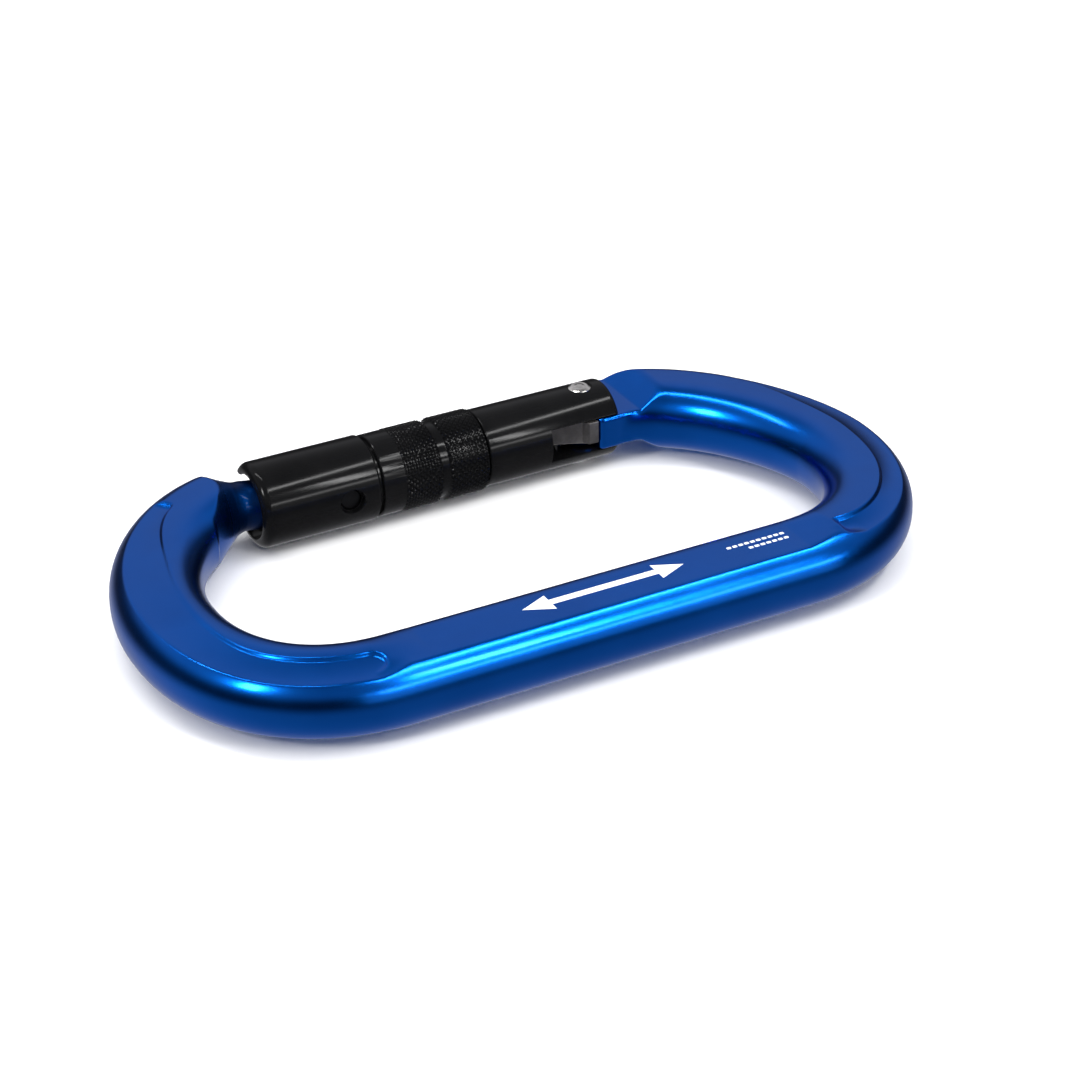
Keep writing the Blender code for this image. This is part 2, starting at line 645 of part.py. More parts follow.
# ---- locking sleeve -----------------------------------------------------------------------------
def make_lock_barrel(material):
    """Front half of the sleeve: its mouth traps the nose, its side slot lets the nose out."""
    wall_x = BARREL_START_X + BARREL_WALL
    socket_x = SPIGOT_X - 0.40 * MM
    profile = [
        (BARREL_START_X, BARREL_MOUTH + 0.12 * MM), (BARREL_START_X + 0.12 * MM, BARREL_RADIUS - 1.00 * MM),
        (BARREL_START_X + 0.45 * MM, BARREL_RADIUS - 0.52 * MM),
        (BARREL_START_X + 1.00 * MM, BARREL_RADIUS - 0.18 * MM),
        (BARREL_START_X + 1.80 * MM, BARREL_RADIUS), (BARREL_END_X - 0.35 * MM, BARREL_RADIUS),
        (BARREL_END_X, BARREL_RADIUS - 0.30 * MM), (BARREL_END_X, SOCKET_RADIUS),
        (socket_x, SOCKET_RADIUS), (socket_x, RUNNING_RADIUS), (wall_x, RUNNING_RADIUS),
        (wall_x, BARREL_MOUTH), (BARREL_START_X + 0.35 * MM, BARREL_MOUTH)]
    barrel = turned("lock_barrel", profile, material)
    slot = [(BARREL_START_X - 1.0 * MM, -EXIT_SLOT_HALF), (EXIT_SLOT_END_X, -EXIT_SLOT_HALF),
            (EXIT_SLOT_END_X, EXIT_SLOT_HALF), (BARREL_START_X - 1.0 * MM, EXIT_SLOT_HALF)]
    cut(barrel, prism("cutter_exit_slot", slot, GATE_Y, GATE_Y + 2.0 * BARREL_RADIUS, axis="Y"))
    inner, outer = 3.0 * MM, 2.0 * BARREL_RADIUS
    shelf = BARREL_RADIUS - 0.90 * MM
    hole = [(GATE_Y - outer, 0.0), (GATE_Y - outer, PIN_HOLE_RADIUS), (GATE_Y - shelf, PIN_HOLE_RADIUS),
            (GATE_Y - shelf, PIN_RADIUS + 0.03 * MM), (GATE_Y - inner, PIN_RADIUS + 0.03 * MM),
            (GATE_Y - inner, 0.0)]
    cut(barrel, stepped_post("cutter_pin_hole", hole, PIN_X, 0.0, axis="Y", segments=24))
    return barrel


def make_guide_pin(material):
    """Pin pressed through the barrel; its inner end rides in the stem's window."""
    tip, head = PIN_TIP_RADIUS, 5.00 * MM
    steps = [(GATE_Y - head, 0.0), (GATE_Y - head, PIN_RADIUS - 0.2 * MM),
             (GATE_Y - head + 0.2 * MM, PIN_RADIUS), (GATE_Y - tip - 0.2 * MM, PIN_RADIUS),
             (GATE_Y - tip, PIN_RADIUS - 0.2 * MM), (GATE_Y - tip, 0.0)]
    return stepped_post("guide_pin", steps, PIN_X, 0.0, axis="Y", material=material, segments=24)


def make_grip_sleeve(material):
    """Rear half of the sleeve: a smooth band, two knurled bands and a flange inside the end."""
    chamfer = 0.20 * MM
    profile = [
        (SPIGOT_X, GRIP_BORE), (SPIGOT_X, SPIGOT_RADIUS), (GRIP_START_X, SPIGOT_RADIUS),
        (GRIP_START_X, GRIP_RADIUS - chamfer), (GRIP_START_X + chamfer, GRIP_RADIUS),
        (KNURL_ONE_X[0], GRIP_RADIUS), (KNURL_ONE_X[0] + 0.1 * MM, KNURL_RADIUS),
        (KNURL_ONE_X[1] - 0.1 * MM, KNURL_RADIUS), (KNURL_ONE_X[1], GROOVE_RADIUS),
        (KNURL_TWO_X[0], GROOVE_RADIUS), (KNURL_TWO_X[0] + 0.1 * MM, KNURL_RADIUS),
        (KNURL_TWO_X[1] - chamfer, KNURL_RADIUS), (KNURL_TWO_X[1], KNURL_RADIUS - chamfer),
        (KNURL_TWO_X[1], RUNNING_RADIUS), (FLANGE_X, RUNNING_RADIUS), (FLANGE_X, GRIP_BORE)]
    return turned("grip_sleeve", profile, material)


def make_thrust_washer(material):
    """Flat washer between the sleeve spring and the grip's flange."""
    back = FLANGE_X - 0.05 * MM
    front = back - WASHER_THICKNESS
    profile = [(front, WASHER_INNER), (front, WASHER_OUTER), (back, WASHER_OUTER), (back, WASHER_INNER)]
    return turned("thrust_washer", profile, material)


# ---- assembly --------------------------------------------------------------------------------------
def make_axis(name, location, parent=None):
    """An empty on a joint's axis, for the pieces that move about or along it."""
    axis = bpy.data.objects.new(name, None)
    axis.empty_display_size = 5.0 * MM
    bpy.context.scene.collection.objects.link(axis)
    axis.location = Vector(location) - (parent.matrix_world.translation if parent else Vector())
    axis.parent = parent
    bpy.context.view_layer.update()
    return axis


def attach(parent, pieces):
    """Parent each piece, and the cutters of its Booleans, without moving it."""
    for piece in pieces:
        cutters = [modifier.object for modifier in piece.modifiers if modifier.type == "BOOLEAN"]
        for item in [piece] + cutters:
            item.parent = parent
            item.matrix_parent_inverse = parent.matrix_world.inverted()


def build():
    for old in list(bpy.data.objects):
        bpy.data.objects.remove(old, do_unlink=True)
    make_body_frame(blue_anodised("body_blue"))

    gate_axis = make_axis("gate_pivot_axis", (PIVOT_X, GATE_Y, 0.0))
    sleeve_spring = coil("sleeve_spring", SLEEVE_SPRING, spring_steel("sleeve_spring_steel"), per_turn=16)
    gate_spring = coil("gate_spring", GATE_SPRING, spring_steel("gate_spring_steel"), per_turn=10)
    attach(gate_axis, [make_gate_arm(black_anodised("gate_black")),
                       make_hinge_rivet(bright_steel("rivet_steel")),
                       make_retaining_ring(spring_steel("ring_steel")), sleeve_spring, gate_spring])

    pusher_axis = make_axis("pusher_slide_axis", (FORK_ROOT_X, GATE_Y, 0.0), gate_axis)
    attach(pusher_axis, [make_spring_pusher(grey_steel("pusher_steel"))])

    slide_axis = make_axis("sleeve_slide_axis", (FLANGE_X, GATE_Y, 0.0), gate_axis)
    attach(slide_axis, [make_thrust_washer(grey_steel("washer_steel"))])

    twist_axis = make_axis("sleeve_twist_axis", (PIN_X, GATE_Y, 0.0), slide_axis)
    attach(twist_axis, [make_lock_barrel(black_anodised("barrel_black")),
                        make_grip_sleeve(black_anodised("grip_black")),
                        make_guide_pin(bright_steel("pin_steel"))])


build()
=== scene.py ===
"""Looks of the locking carabiner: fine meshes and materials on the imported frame, floor, light and camera.

Lengths are written in millimetres and scaled by MM. +X runs along the bar towards the hinge, +Y from
the spine towards the gate, +Z square to the plane of the oval.
"""
import json
import math

import bmesh
import bpy
from mathutils import Matrix, Vector


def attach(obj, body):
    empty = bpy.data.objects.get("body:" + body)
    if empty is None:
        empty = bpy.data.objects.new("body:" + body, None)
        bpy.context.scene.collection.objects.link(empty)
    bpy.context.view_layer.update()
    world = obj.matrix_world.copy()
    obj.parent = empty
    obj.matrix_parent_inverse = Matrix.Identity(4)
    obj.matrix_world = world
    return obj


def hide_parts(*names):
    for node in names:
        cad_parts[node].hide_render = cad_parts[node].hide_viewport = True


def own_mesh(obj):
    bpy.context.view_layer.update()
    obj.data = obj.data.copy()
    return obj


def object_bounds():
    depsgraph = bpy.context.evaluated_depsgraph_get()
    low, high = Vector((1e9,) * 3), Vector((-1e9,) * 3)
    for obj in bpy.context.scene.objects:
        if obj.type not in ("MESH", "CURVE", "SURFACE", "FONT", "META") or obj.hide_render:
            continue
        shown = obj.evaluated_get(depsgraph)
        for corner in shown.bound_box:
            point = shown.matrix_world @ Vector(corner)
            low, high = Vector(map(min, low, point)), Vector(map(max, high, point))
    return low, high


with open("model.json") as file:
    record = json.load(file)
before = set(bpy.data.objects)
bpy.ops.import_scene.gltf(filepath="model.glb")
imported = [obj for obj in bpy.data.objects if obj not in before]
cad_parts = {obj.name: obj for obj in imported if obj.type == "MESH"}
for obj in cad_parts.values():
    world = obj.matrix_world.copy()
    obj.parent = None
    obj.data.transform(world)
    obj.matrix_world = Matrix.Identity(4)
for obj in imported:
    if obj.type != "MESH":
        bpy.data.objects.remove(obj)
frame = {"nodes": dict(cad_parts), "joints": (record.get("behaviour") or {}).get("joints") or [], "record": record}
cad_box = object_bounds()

MM = 0.001
nodes = frame["nodes"]


# ---- driving dimensions, in millimetres ----------------------------------------------------------
pivot = next(joint for joint in frame["joints"] if joint["name"] == "gate_pivot")
PIVOT_X, GATE_Y = pivot["pos_m"][0] / MM, pivot["pos_m"][1] / MM
spine_mount = next(mount for mount in frame["record"]["mounts"] if mount["name"] == "spine_top_flat")
SPINE_Y, FLAT_Z = spine_mount["pos_m"][1] / MM, spine_mount["pos_m"][2] / MM

# the bar: a forged superellipse section, cut back by flats and by the stepped tracks
BAR_HALF_WIDTH = 6.10
BAR_HALF_HEIGHT = 5.36
BAR_POWER = 2.2
CREST_Z = 4.95
NOSE_BOW = {"x": -28.55, "reach": 20.50, "widest_y": -1.70, "top_y": 25.10,
            "spine_power": 2.24, "gate_power": 1.91}
HINGE_BOW = {"x": 28.55, "reach": 20.35, "widest_y": -2.20, "top_y": 25.05,
             "spine_power": 2.12, "gate_power": 1.68}
FLAT_X = (-25.30, 28.00)       # ends of the spine's flat; the bar rises to its crest beyond them
NOSE_TRACK_X = -30.60          # round end of the nose bow's track
HINGE_TRACK_X = 33.55          # square end of the hinge bow's track

# nose and neck
NECK_RADIUS = 3.45
NECK_OFFSET = 0.65
NECK_FLARE_X = -29.00
NECK_FLARE_SLOPE = 0.72
NECK_FLARE_ROUND = 1.60
NECK_CUT_END_X = -35.40
NECK_LEAN_X = -30.60
NECK_LEAN = 0.30
NECK_PAINTED_SHADE_X = -27.60          # painted shade: the blue is darkened and roughened round the turned neck, by the barrel's mouth
TIP_RADIUS = 3.20
TIP_X = -25.75
KEY_X = -22.60
KEY_RADIUS = 2.00
KEY_WEB = 1.10
KEY_INNER_REACH = 2.20

# tongue
TONGUE_Z = 2.40
TONGUE_LOBE = 3.30
TONGUE_OUTER = 6.00
TONGUE_INNER = 5.40
CAM_X = 1.40
CAM_RADIUS = 1.00
CAM_Y = 4.30
SHOULDER_X = 30.20             # foot of the ramp between the tongue and the crest
SHOULDER_RAMP = 3.70
FAN_X = (29.50, 38.00)         # the sections turn into the hinge bow between these
BOW_SPACING = 0.20             # between the sections along the bows

# gate
STEM_RADIUS = 3.90
TUBE_RADIUS = 5.57
TUBE_START_X = 6.15
TUBE_END_X = 26.95
FORK_ROOT_X = 15.90
FORK_HALF_GAP = 2.50
SPRING_BORE = 2.30
SPRING_BORE_X = 1.50
PUSHER_RELIEF = 3.80
PUSHER_RELIEF_X = 12.90
PUSHER_PLATE_Z = (-1.10, 2.20)
PUSHER_FACE_GAP = 0.05         # between the pusher's face and the tongue
PUSHER_LOBE_GAP = 0.30
SPRING_SEAT_X = 14.50          # the gate spring ends here, on the pusher's collar
RING_GROOVE_X = (-11.05, -10.05)
RING_GROOVE_RADIUS = 3.45
KEYHOLE_GAP = 0.35
RIVET_RADIUS = 1.50
RIVET_HEAD = 1.66
RIVET_SEAT_Z = 4.90
RIVET_TOP_Z = 5.78

# sleeve
BARREL_X = (-27.90, -10.75)
BARREL_RADIUS = 6.02
BARREL_MOUTH = 4.45
BARREL_WALL = 2.00
RUNNING_RADIUS = 3.98
SOCKET_RADIUS = 5.33
SPIGOT_RADIUS = 5.30
SPIGOT_X = -12.60
EXIT_SLOT_HALF = 3.62
EXIT_SLOT_END_X = -19.90
GRIP_START_X = -10.25
GRIP_RADIUS = 5.84
KNURL_RADIUS = 5.90
GROOVE_RADIUS = 5.45
KNURLS_X = ((-6.90, -1.30), (0.00, 5.85))
GRIP_BORE = 4.80
FLANGE_X = 4.30
PIN_X = -15.05
PIN_RADIUS = 1.50
PIN_TIP_RADIUS = 2.65
PIN_HEAD_RADIUS = 5.00
PIN_HOLE_RADIUS = 1.80
WINDOW_DEPTH_RADIUS = 2.45     # the pin's window in the stem is cut down to here

SMOOTH = 192                   # segments round the turned pieces


# ---- node helpers --------------------------------------------------------------------------------
class Nodes:
    """A short way to write a material's node tree."""

    def __init__(self, name):
        self.material = bpy.data.materials.new(name)
        self.material.use_nodes = True
        self.tree = self.material.node_tree
        self.shader = self.tree.nodes["Principled BSDF"]
        self.place = self.add("ShaderNodeTexCoord").outputs["Object"]

    def add(self, kind, **values):
        node = self.tree.nodes.new(kind)
        for key, value in values.items():
            setattr(node, key, value)
        return node

    def link(self, source, target):
        self.tree.links.new(source, target)

    def stretched(self, scale):
        """Object coordinates scaled by a factor for each axis."""
        node = self.add("ShaderNodeMapping")
        node.inputs["Scale"].default_value = scale
        self.link(self.place, node.inputs["Vector"])
        return node.outputs["Vector"]

    def noise(self, scale, detail=2.0, roughness=0.5, place=None):
        node = self.add("ShaderNodeTexNoise")
        node.inputs["Scale"].default_value = scale
        node.inputs["Detail"].default_value = detail
        node.inputs["Roughness"].default_value = roughness
        self.link(self.place if place is None else place, node.inputs["Vector"])
        return node.outputs["Fac"]

    def remap(self, value, low_in, high_in, low_out, high_out):
        node = self.add("ShaderNodeMapRange")
        for name, number in (("From Min", low_in), ("From Max", high_in),
                             ("To Min", low_out), ("To Max", high_out)):
            node.inputs[name].default_value = number
        self.link(value, node.inputs["Value"])
        return node.outputs["Result"]

    def maths(self, operation, first, second):
        node = self.add("ShaderNodeMath", operation=operation)
        for i, value in enumerate((first, second)):
            if isinstance(value, (int, float)):
                node.inputs[i].default_value = value
            else:
                self.link(value, node.inputs[i])
        return node.outputs["Value"]

    def blend(self, amount, first, second):
        node = self.add("ShaderNodeMix", data_type="RGBA")
        self.link(amount, node.inputs["Factor"])
        for socket, value in ((node.inputs[6], first), (node.inputs[7], second)):
            if isinstance(value, tuple):
                socket.default_value = (*value, 1.0)
            else:
                self.link(value, socket)
        return node.outputs[2]

    def bump(self, height, distance, below=None):
        """Bump of a height in metres."""
        node = self.add("ShaderNodeBump")
        node.inputs["Strength"].default_value = 1.0
        node.inputs["Distance"].default_value = distance
        self.link(height, node.inputs["Height"])
        if below is not None:
            self.link(below, node.inputs["Normal"])
        return node.outputs["Normal"]

    def finish(self, colour=None, roughness=None, normal=None, **constants):
        for socket, value in (("Base Color", colour), ("Roughness", roughness), ("Normal", normal)):
            if value is not None:
                self.link(value, self.shader.inputs[socket])
        for name, value in constants.items():
            self.shader.inputs[name.replace("_", " ")].default_value = value
        return self.material


def anodised_blue():
    """Dyed anodised aluminium over a fine blasted grain, with handling marks, and painted shade darkening the neck
    by the barrel's mouth.
    """
    n = Nodes("anodised_blue")
    cloud = n.noise(90.0, 3.0)
    grain = n.noise(5200.0, 2.0, 0.6)
    marks = n.noise(700.0, 4.0, 0.7, n.stretched((1.0, 0.35, 1.0)))
    tint = n.blend(n.remap(cloud, 0.35, 0.65, 0.0, 1.0), (0.0, 0.112, 0.560), (0.002, 0.130, 0.630))
    worn = n.remap(marks, 0.74, 0.79, 0.0, 0.22)
    # painted shade: the neck by the barrel's mouth is tinted dark navy and made rougher
    reach = n.add("ShaderNodeVectorMath", operation="DISTANCE")
    n.link(n.place, reach.inputs[0])
    reach.inputs[1].default_value = (NECK_PAINTED_SHADE_X * MM, GATE_Y * MM, 0.0)
    neck_painted_shade = n.remap(reach.outputs["Value"], 4.2 * MM, 6.8 * MM, 1.0, 0.0)
    colour = n.blend(neck_painted_shade, n.blend(worn, tint, (0.10, 0.24, 0.62)), (0.0, 0.022, 0.110))
    gloss = n.maths("ADD", n.remap(cloud, 0.3, 0.7, 0.20, 0.25), n.remap(grain, 0.3, 0.7, 0.0, 0.02))
    roughness = n.maths("ADD", gloss, n.maths("MULTIPLY", neck_painted_shade, 0.20))
    wavy = n.bump(n.noise(160.0, 2.0), 0.000030)
    normal = n.bump(grain, 0.0000003, wavy)
    return n.finish(colour, roughness, normal, Metallic=1.0, Coat_Weight=0.10, Coat_Roughness=0.10)


def anodised_black(name="anodised_black", lined=True):
    """Black anodised aluminium, with fine turning lines round the axis if lined."""
    n = Nodes(name)
    cloud = n.noise(140.0, 3.0)
    grain = n.noise(6000.0, 2.0, 0.6)
    lines = n.noise(1.0, 3.0, 0.6, n.stretched((9000.0, 60.0, 60.0)))
    tint = n.blend(n.remap(cloud, 0.3, 0.7, 0.0, 1.0), (0.0030, 0.0031, 0.0034), (0.0050, 0.0050, 0.0053))
    specks = n.remap(n.noise(2600.0, 3.0, 0.7), 0.75, 0.80, 0.0, 0.4)
    colour = n.blend(specks, tint, (0.05, 0.05, 0.055))
    roughness = n.remap(cloud, 0.3, 0.7, 0.11, 0.15)
    normal = n.bump(grain, 0.0000008)
    if lined:
        normal = n.bump(lines, 0.0000015, normal)
    return n.finish(colour, roughness, normal, Metallic=0.0, Specular_IOR_Level=0.12)


def steel(name, colour, roughness, brushed=(400.0, 400.0, 400.0)):
    """Bare steel: cloudy tint, fine directional marks and varied gloss."""
    n = Nodes(name)
    cloud = n.noise(600.0, 3.0)
    lines = n.noise(6.0, 4.0, 0.6, n.stretched(brushed))
    darker = tuple(0.72 * part for part in colour)
    tint = n.blend(n.remap(cloud, 0.35, 0.65, 0.0, 1.0), darker, colour)
    gloss = n.remap(lines, 0.3, 0.7, roughness - 0.05, roughness + 0.08)
    return n.finish(tint, gloss, n.bump(lines, 0.0000035), Metallic=1.0)


def white_print():
    """Pad-printed white ink, a little thin and rubbed in places."""
    n = Nodes("white_print")
    rubbed = n.remap(n.noise(2400.0, 4.0, 0.7), 0.60, 0.72, 0.0, 0.55)
    colour = n.blend(rubbed, (0.84, 0.86, 0.88), (0.35, 0.45, 0.66))
    return n.finish(colour, n.remap(n.noise(900.0), 0.3, 0.7, 0.38, 0.50), n.bump(n.noise(3000.0), 0.000002))


BLUE = anodised_blue()
BLACK = anodised_black()
KNURL_BLACK = anodised_black("anodised_black_knurled", lined=False)
BRIGHT = steel("bright_steel", (0.90, 0.88, 0.84), 0.14)
GREY = steel("grey_steel", (0.22, 0.21, 0.205), 0.58, (60.0, 900.0, 900.0))
DARK = steel("dark_steel", (0.030, 0.030, 0.032), 0.34)
WIRE = steel("spring_wire", (0.44, 0.44, 0.45), 0.26, (900.0, 90.0, 900.0))
WHITE = white_print()


# ---- mesh helpers --------------------------------------------------------------------------------
def add_piece(name, mesh_data, material, body, replaced=(), sharp=32.0):
    """A new mesh object in metres from a bmesh in millimetres, riding on a body."""
    bmesh.ops.recalc_face_normals(mesh_data, faces=mesh_data.faces)
    mesh = bpy.data.meshes.new(name)
    mesh_data.to_mesh(mesh)
    mesh_data.free()
    mesh.transform(Matrix.Scale(MM, 4))
    mesh.shade_smooth()
    mesh.set_sharp_from_angle(angle=math.radians(sharp))
    piece = bpy.data.objects.new(name, mesh)
    bpy.context.scene.collection.objects.link(piece)
    if material is not None:
        mesh.materials.append(material)
    if body is not None:
        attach(piece, body)
    if replaced:
        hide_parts(*replaced)
    return piece


def bridge(mesh_data, first, second):
    count = len(first)
    for i in range(count):
        j = (i + 1) % count
        mesh_data.faces.new((first[i], first[j], second[j], second[i]))


def rounded(corners, steps=5):
    """Polyline of (x, radius, fillet) corners with each corner that has a fillet turned into an arc."""
    points = []
    for i, (x, radius, fillet) in enumerate(corners):
        here = Vector((x, radius))
        if not fillet:
            points.append(tuple(here))
            continue
        before = (Vector(corners[i - 1][:2]) - here).normalized()
        after = (Vector(corners[(i + 1) % len(corners)][:2]) - here).normalized()
        half = 0.5 * before.angle(after)
        start, end = here + before * fillet / math.tan(half), here + after * fillet / math.tan(half)
        centre = here + (before + after).normalized() * fillet / math.sin(half)
        for k in range(steps + 1):
            arm = (start - centre).lerp(end - centre, k / steps)
            points.append(tuple(centre + arm.normalized() * fillet))
    return points


def revolve(mesh_data, profile, segments, centre=(0.0, 0.0)):
    """Revolve (x, radius) points about the X axis through centre (y, z); radius 0 closes an end."""
    rings = []
    for x, radius in profile:
        if radius < 1e-9:
            rings.append([mesh_data.verts.new((x, *centre))])
            continue
        ring = []
        for i in range(segments):
            angle = 2.0 * math.pi * i / segments
            ring.append(mesh_data.verts.new((x, centre[0] + radius * math.cos(angle),
                                             centre[1] + radius * math.sin(angle))))
        rings.append(ring)
    pairs = list(zip(rings, rings[1:]))
    if all(len(ring) > 1 for ring in rings):
        pairs.append((rings[-1], rings[0]))
    for first, second in pairs:
        if len(first) == 1:
            for i in range(segments):
                mesh_data.faces.new((first[0], second[i], second[(i + 1) % segments]))
        elif len(second) == 1:
            for i in range(segments):
                mesh_data.faces.new((second[0], first[(i + 1) % segments], first[i]))
        else:
            bridge(mesh_data, first, second)


def turned(corners, segments=SMOOTH, centre=(GATE_Y, 0.0), steps=5):
    mesh_data = bmesh.new()
    revolve(mesh_data, rounded(corners, steps), segments, centre)
    return mesh_data


def extruded(outline, low_end, high_end, axis):
    """Closed outline pushed along an axis: X takes (y, z), Y takes (x, z), Z takes (x, y)."""
    mesh_data = bmesh.new()
    place = {"X": lambda p, h: (h, p[0], p[1]), "Y": lambda p, h: (p[0], h, p[1]),
             "Z": lambda p, h: (p[0], p[1], h)}[axis]
    lower = [mesh_data.verts.new(place(point, low_end)) for point in outline]
    upper = [mesh_data.verts.new(place(point, high_end)) for point in outline]
    bridge(mesh_data, lower, upper)
    mesh_data.faces.new(lower)
    mesh_data.faces.new(upper)
    return mesh_data


def post(steps, x, y, axis):
    """A turned post of (height, radius, fillet) steps, standing along Z or Y at x, y."""
    mesh_data = turned(steps, 64, (0.0, 0.0))
    angle, about = (-90.0, "Y") if axis == "Z" else (90.0, "Z")
    turn = Matrix.Rotation(math.radians(angle), 4, about)
    bmesh.ops.transform(mesh_data, matrix=Matrix.Translation((x, y, 0.0)) @ turn, verts=mesh_data.verts)
    return mesh_data


def carve(mesh_data, cutters, operation="DIFFERENCE"):
    """The mesh with each cutter taken away (or joined), as a new bmesh."""
    blank = add_piece("blank", mesh_data, None, None)
    tools = []
    for cutter in cutters:
        tool = add_piece("tool", cutter, None, None)
        tools.append(tool)
        modifier = blank.modifiers.new("cut", "BOOLEAN")
        modifier.operation = operation
        modifier.solver = "EXACT"
        modifier.object = tool
    bpy.context.view_layer.update()
    evaluated = blank.evaluated_get(bpy.context.evaluated_depsgraph_get())
    result = bmesh.new()
    result.from_mesh(evaluated.to_mesh())
    evaluated.to_mesh_clear()
    bmesh.ops.transform(result, matrix=Matrix.Scale(1.0 / MM, 4), verts=result.verts)
    for item in [blank] + tools:
        bpy.data.objects.remove(item, do_unlink=True)
    return result


def arc(centre, radius, start, end, count):
    points = []
    for i in range(count):
        angle = math.radians(start + (end - start) * i / (count - 1))
        points.append((centre[0] + radius * math.cos(angle), centre[1] + radius * math.sin(angle)))
    return points


def smooth(value, start, end):
    t = min(max((value - start) / (end - start), 0.0), 1.0)
    return t * t * (3.0 - 2.0 * t)


def ramp(value, start, end):
    return min(max((value - start) / (end - start), 0.0), 1.0)


def soft_min(first, second, width):
    """The lower of two heights, with the corner between them rounded."""
    overlap = max(width - abs(first - second), 0.0) / width
    return min(first, second) - overlap * overlap * width / 4.0


def through(knots, value):
    """Smooth curve through (position, value) knots."""
    if value <= knots[0][0]:
        return knots[0][1]
    if value >= knots[-1][0]:
        return knots[-1][1]
    i = next(k for k in range(len(knots) - 1) if value <= knots[k + 1][0])
    (x0, y0), (x1, y1) = knots[i], knots[i + 1]

    def slope(k):
        a, b = knots[max(k - 1, 0)], knots[min(k + 1, len(knots) - 1)]
        return (b[1] - a[1]) / (b[0] - a[0])

    t = (value - x0) / (x1 - x0)
    h = x1 - x0
    return ((1 + 2 * t) * (1 - t) ** 2 * y0 + t * (1 - t) ** 2 * h * slope(i)
            + t * t * (3 - 2 * t) * y1 + t * t * (t - 1) * h * slope(i + 1))


def lengths_along(points):
    """Length of a polyline up to each of its points."""
    lengths = [0.0]
    for a, b in zip(points, points[1:]):
        lengths.append(lengths[-1] + math.dist(a, b))
    return lengths


def resampled(points, count):
    """A polyline cut into a number of equal lengths, as their end points."""
    lengths = lengths_along(points)
    result, k = [], 0
    for i in range(count + 1):
        target = lengths[-1] * i / count
        while k < len(points) - 2 and lengths[k + 1] < target:
            k += 1
        part = (target - lengths[k]) / max(lengths[k + 1] - lengths[k], 1e-9)
        result.append(tuple(a + (b - a) * part for a, b in zip(points[k], points[k + 1])))
    return result


def spaced(start, end, step):
    """Values from start towards end, about a step apart; the end is left out."""
    count = max(round(abs(end - start) / step), 1)
    return [start + (end - start) * i / count for i in range(count)]


# ---- bar: centreline -----------------------------------------------------------------------------
def bow_point(bow, side, turn):
    across, along = math.cos(turn), math.sin(turn)
    if along < 0.0:
        power, depth = bow["spine_power"], bow["widest_y"] - SPINE_Y
    else:
        power, depth = bow["gate_power"], bow["top_y"] - bow["widest_y"]
    return Vector((bow["x"] + side * bow["reach"] * max(across, 0.0) ** (2.0 / power),
                   bow["widest_y"] + math.copysign(depth * abs(along) ** (2.0 / power), along)))


def bow_line(bow, side):
    """Evenly spaced points of one bow, from its gate end down to the spine."""
    fine = [bow_point(bow, side, math.radians(90.0 - 0.05 * i)) for i in range(3601)]
    count = round(lengths_along(fine)[-1] / BOW_SPACING)
    return [Vector(point) for point in resampled(fine, count)]


# ---- bar: height of the section ------------------------------------------------------------------
# Each track is given by knots of (millimetres along the bow from its gate end, value):
# the offset of its inner edge from the centreline, the height of its floor at the outer side, and
# how far its floor lies below the crest beside the inner edge.
NOSE_CREASE = ((10.5, -0.85), (14.8, -0.40), (25.5, 1.75), (35.0, 2.05), (44.0, 1.45), (53.1, 0.30),
               (61.5, 0.20), (72.0, 0.30))
HINGE_CREASE = ((5.5, -5.00), (10.0, -3.75), (17.9, -2.70), (28.4, -1.05), (38.8, -0.75), (50.4, -1.30),
                (60.3, -1.25), (66.0, 0.10))
NOSE_FLOOR = ((10.0, 4.50), (24.0, 4.30), (45.0, 4.15), (58.0, 3.80), (72.0, 3.85))
HINGE_FLOOR = ((8.0, 4.45), (28.0, 4.30), (45.0, 4.00), (55.0, 3.75), (66.0, 3.85))
NOSE_STEP = ((11.0, 0.42), (20.0, 0.28), (40.0, 0.24), (52.0, 0.34), (60.0, 0.45))
HINGE_STEP = ((5.5, 0.42), (20.0, 0.38), (34.0, 0.22), (54.0, 0.22), (66.0, 0.38))
TRACKS = {"nose": (NOSE_CREASE, NOSE_FLOOR, NOSE_STEP), "hinge": (HINGE_CREASE, HINGE_FLOOR, HINGE_STEP)}
SPINE_CREASE = 0.2             # only spaces the points of the spine's sections
NOSE_TRACK_START = 11.2        # the nose track begins this far along its bow
TRACK_END_ROUND = 1.90         # and ends in a half circle of this radius
STEP_WIDTH = 0.50              # the step at the inner edge is this wide


def bar_round(offset):
    """Height of the forged superellipse at an offset from the centreline."""
    part = min(abs(offset) / BAR_HALF_WIDTH, 1.0)
    return BAR_HALF_HEIGHT * (1.0 - part ** BAR_POWER) ** (1.0 / BAR_POWER)


def bar_offset(height):
    """Offset at which the superellipse has this height."""
    return BAR_HALF_WIDTH * (1.0 - (height / BAR_HALF_HEIGHT) ** BAR_POWER) ** (1.0 / BAR_POWER)


def inside_corner(first, second, radius):
    """Distance inside two edges that meet in a rounded corner; positive inside both."""
    if first >= radius or second >= radius:
        return min(first, second)
    return radius - math.hypot(radius - first, radius - second)


